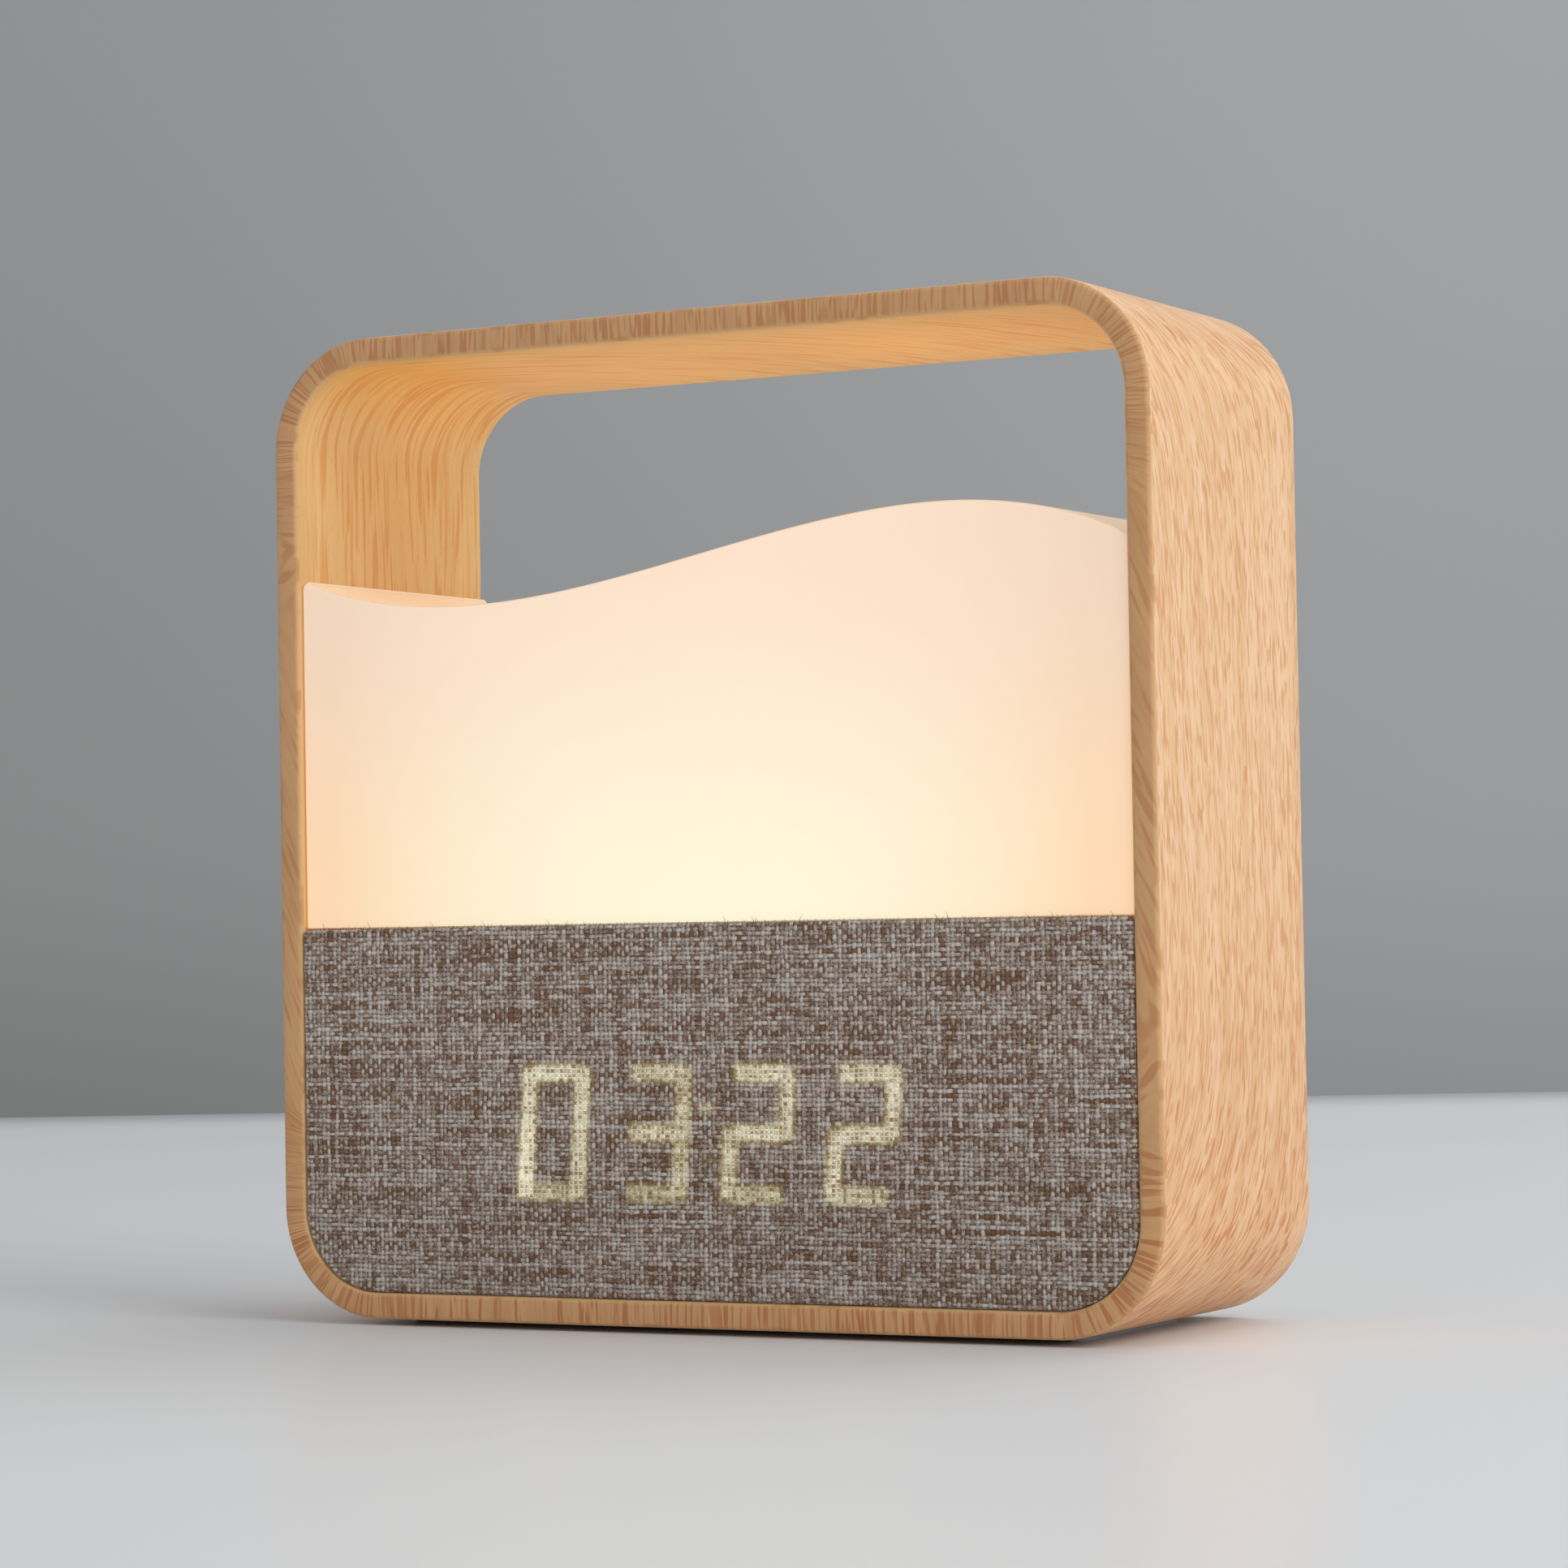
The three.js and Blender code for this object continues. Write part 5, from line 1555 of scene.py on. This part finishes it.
def studio():
    """An even light from all round; the camera and reflections see grey walls in its place"""
    world = bpy.data.worlds.new("studio")
    bpy.context.scene.world = world
    world.use_nodes = True
    tree = world.node_tree
    lit = tree.nodes["Background"]
    feed(lit, Color=(0.96, 0.98, 1.0, 1), Strength=0.42)
    direction = source(tree, "ShaderNodeTexCoord", "Generated")
    x, y, up = split(direction)
    turn = step(x * to_right.x + y * to_right.y, -0.22, 0.19)
    low_wall = blend(turn, "707272", "8b8c8d")
    eye_wall = blend(turn, "858787", "9a9c9e")
    high_wall = blend(turn, "909193", "a5a7a9")
    wall = blend(step(up, -0.06, 0.03), low_wall, eye_wall)
    wall = blend(step(up, -0.02, 0.24), wall, high_wall)
    mottle = noise(direction, scale=9.0, detail=4.0)
    seen = add_node(tree, "ShaderNodeBackground", Color=blend(mottle * 0.14, wall, "8e9192"))
    rays = add_node(tree, "ShaderNodeLightPath").outputs
    camera, glossy, through = [Value(rays[f"Is {kind} Ray"]) for kind in ("Camera", "Glossy", "Transmission")]
    share = calc("MAXIMUM", calc("MAXIMUM", camera, glossy), through)
    mixed = add_node(tree, "ShaderNodeMixShader", Fac=share)
    put(mixed.inputs[1], Value(lit.outputs[0]))
    put(mixed.inputs[2], Value(seen.outputs[0]))
    feed(tree.nodes["World Output"], Surface=Value(mixed.outputs[0]))


def soft_light(name, place, aim, size, brightness, color=(1, 1, 1), spread=180):
    """A soft box; brightness is the radiance of its face, spread the angle in degrees over which it shines"""
    light = bpy.data.lights.new(name, "AREA")
    light.shape = "RECTANGLE"
    light.size, light.size_y = size
    light.energy = brightness * math.pi * size[0] * size[1]
    light.color = color
    light.spread = math.radians(spread)
    holder = bpy.data.objects.new(name, light)
    bpy.context.scene.collection.objects.link(holder)
    holder.location = place
    holder.rotation_euler = (Vector(aim) - Vector(place)).to_track_quat("-Z", "Y").to_euler()


def add_lights():
    """Three soft boxes of the studio, and the lamp's own light on the band over it and on its two sides"""
    middle = (0, 0, 0.08)
    soft_light("key_right", (1.5, -0.35, 0.85), middle, (1.2, 1.2), 3.85)
    soft_light("table_light", (0.45, 0.95, 1.6), (0.4, 0.8, 0), (1.2, 1.2), 2.0)
    soft_light("fill_front", (-0.5, -1.5, 0.9), middle, (1.4, 1.2), 0.48)
    warm = (1.0, 0.8, 0.42)
    side_box = (0.04, 0.014)
    side_spread = 80
    soft_light("lamp_glow", (0, 0, band_low.z + mm(122)), (0, 0, 1), (0.12, 0.04), 0.3, warm)
    soft_light(
        "lamp_glow_left", (0.005, 0.022, 0.135), (-inner_half, 0.026, 0.13), side_box, 0.94, warm,
        side_spread,
    )
    soft_light(
        "lamp_glow_right", (-0.005, 0.005, 0.137), (inner_half, 0.005, 0.137), side_box, 0.9, warm,
        side_spread,
    )


def add_camera():
    camera = bpy.data.cameras.new("camera")
    camera.sensor_fit = "HORIZONTAL"
    camera.sensor_width = 36
    camera.lens = focal_pixels / photo_width * camera.sensor_width
    camera.clip_start = 0.05
    camera.clip_end = 30
    holder = bpy.data.objects.new("camera", camera)
    bpy.context.scene.collection.objects.link(holder)
    ahead = level_ahead * math.cos(camera_pitch) + Vector((0, 0, math.sin(camera_pitch)))
    above = to_right.cross(ahead)
    across = to_right * math.cos(camera_roll) + above * math.sin(camera_roll)
    up = above * math.cos(camera_roll) - to_right * math.sin(camera_roll)
    turn = Matrix((across, up, -ahead)).transposed().to_4x4()
    holder.matrix_world = Matrix.Translation(camera_place) @ turn
    bpy.context.scene.camera = holder


table_top()
studio()
add_lights()
add_camera()
bpy.context.scene.view_settings.view_transform = "Standard"
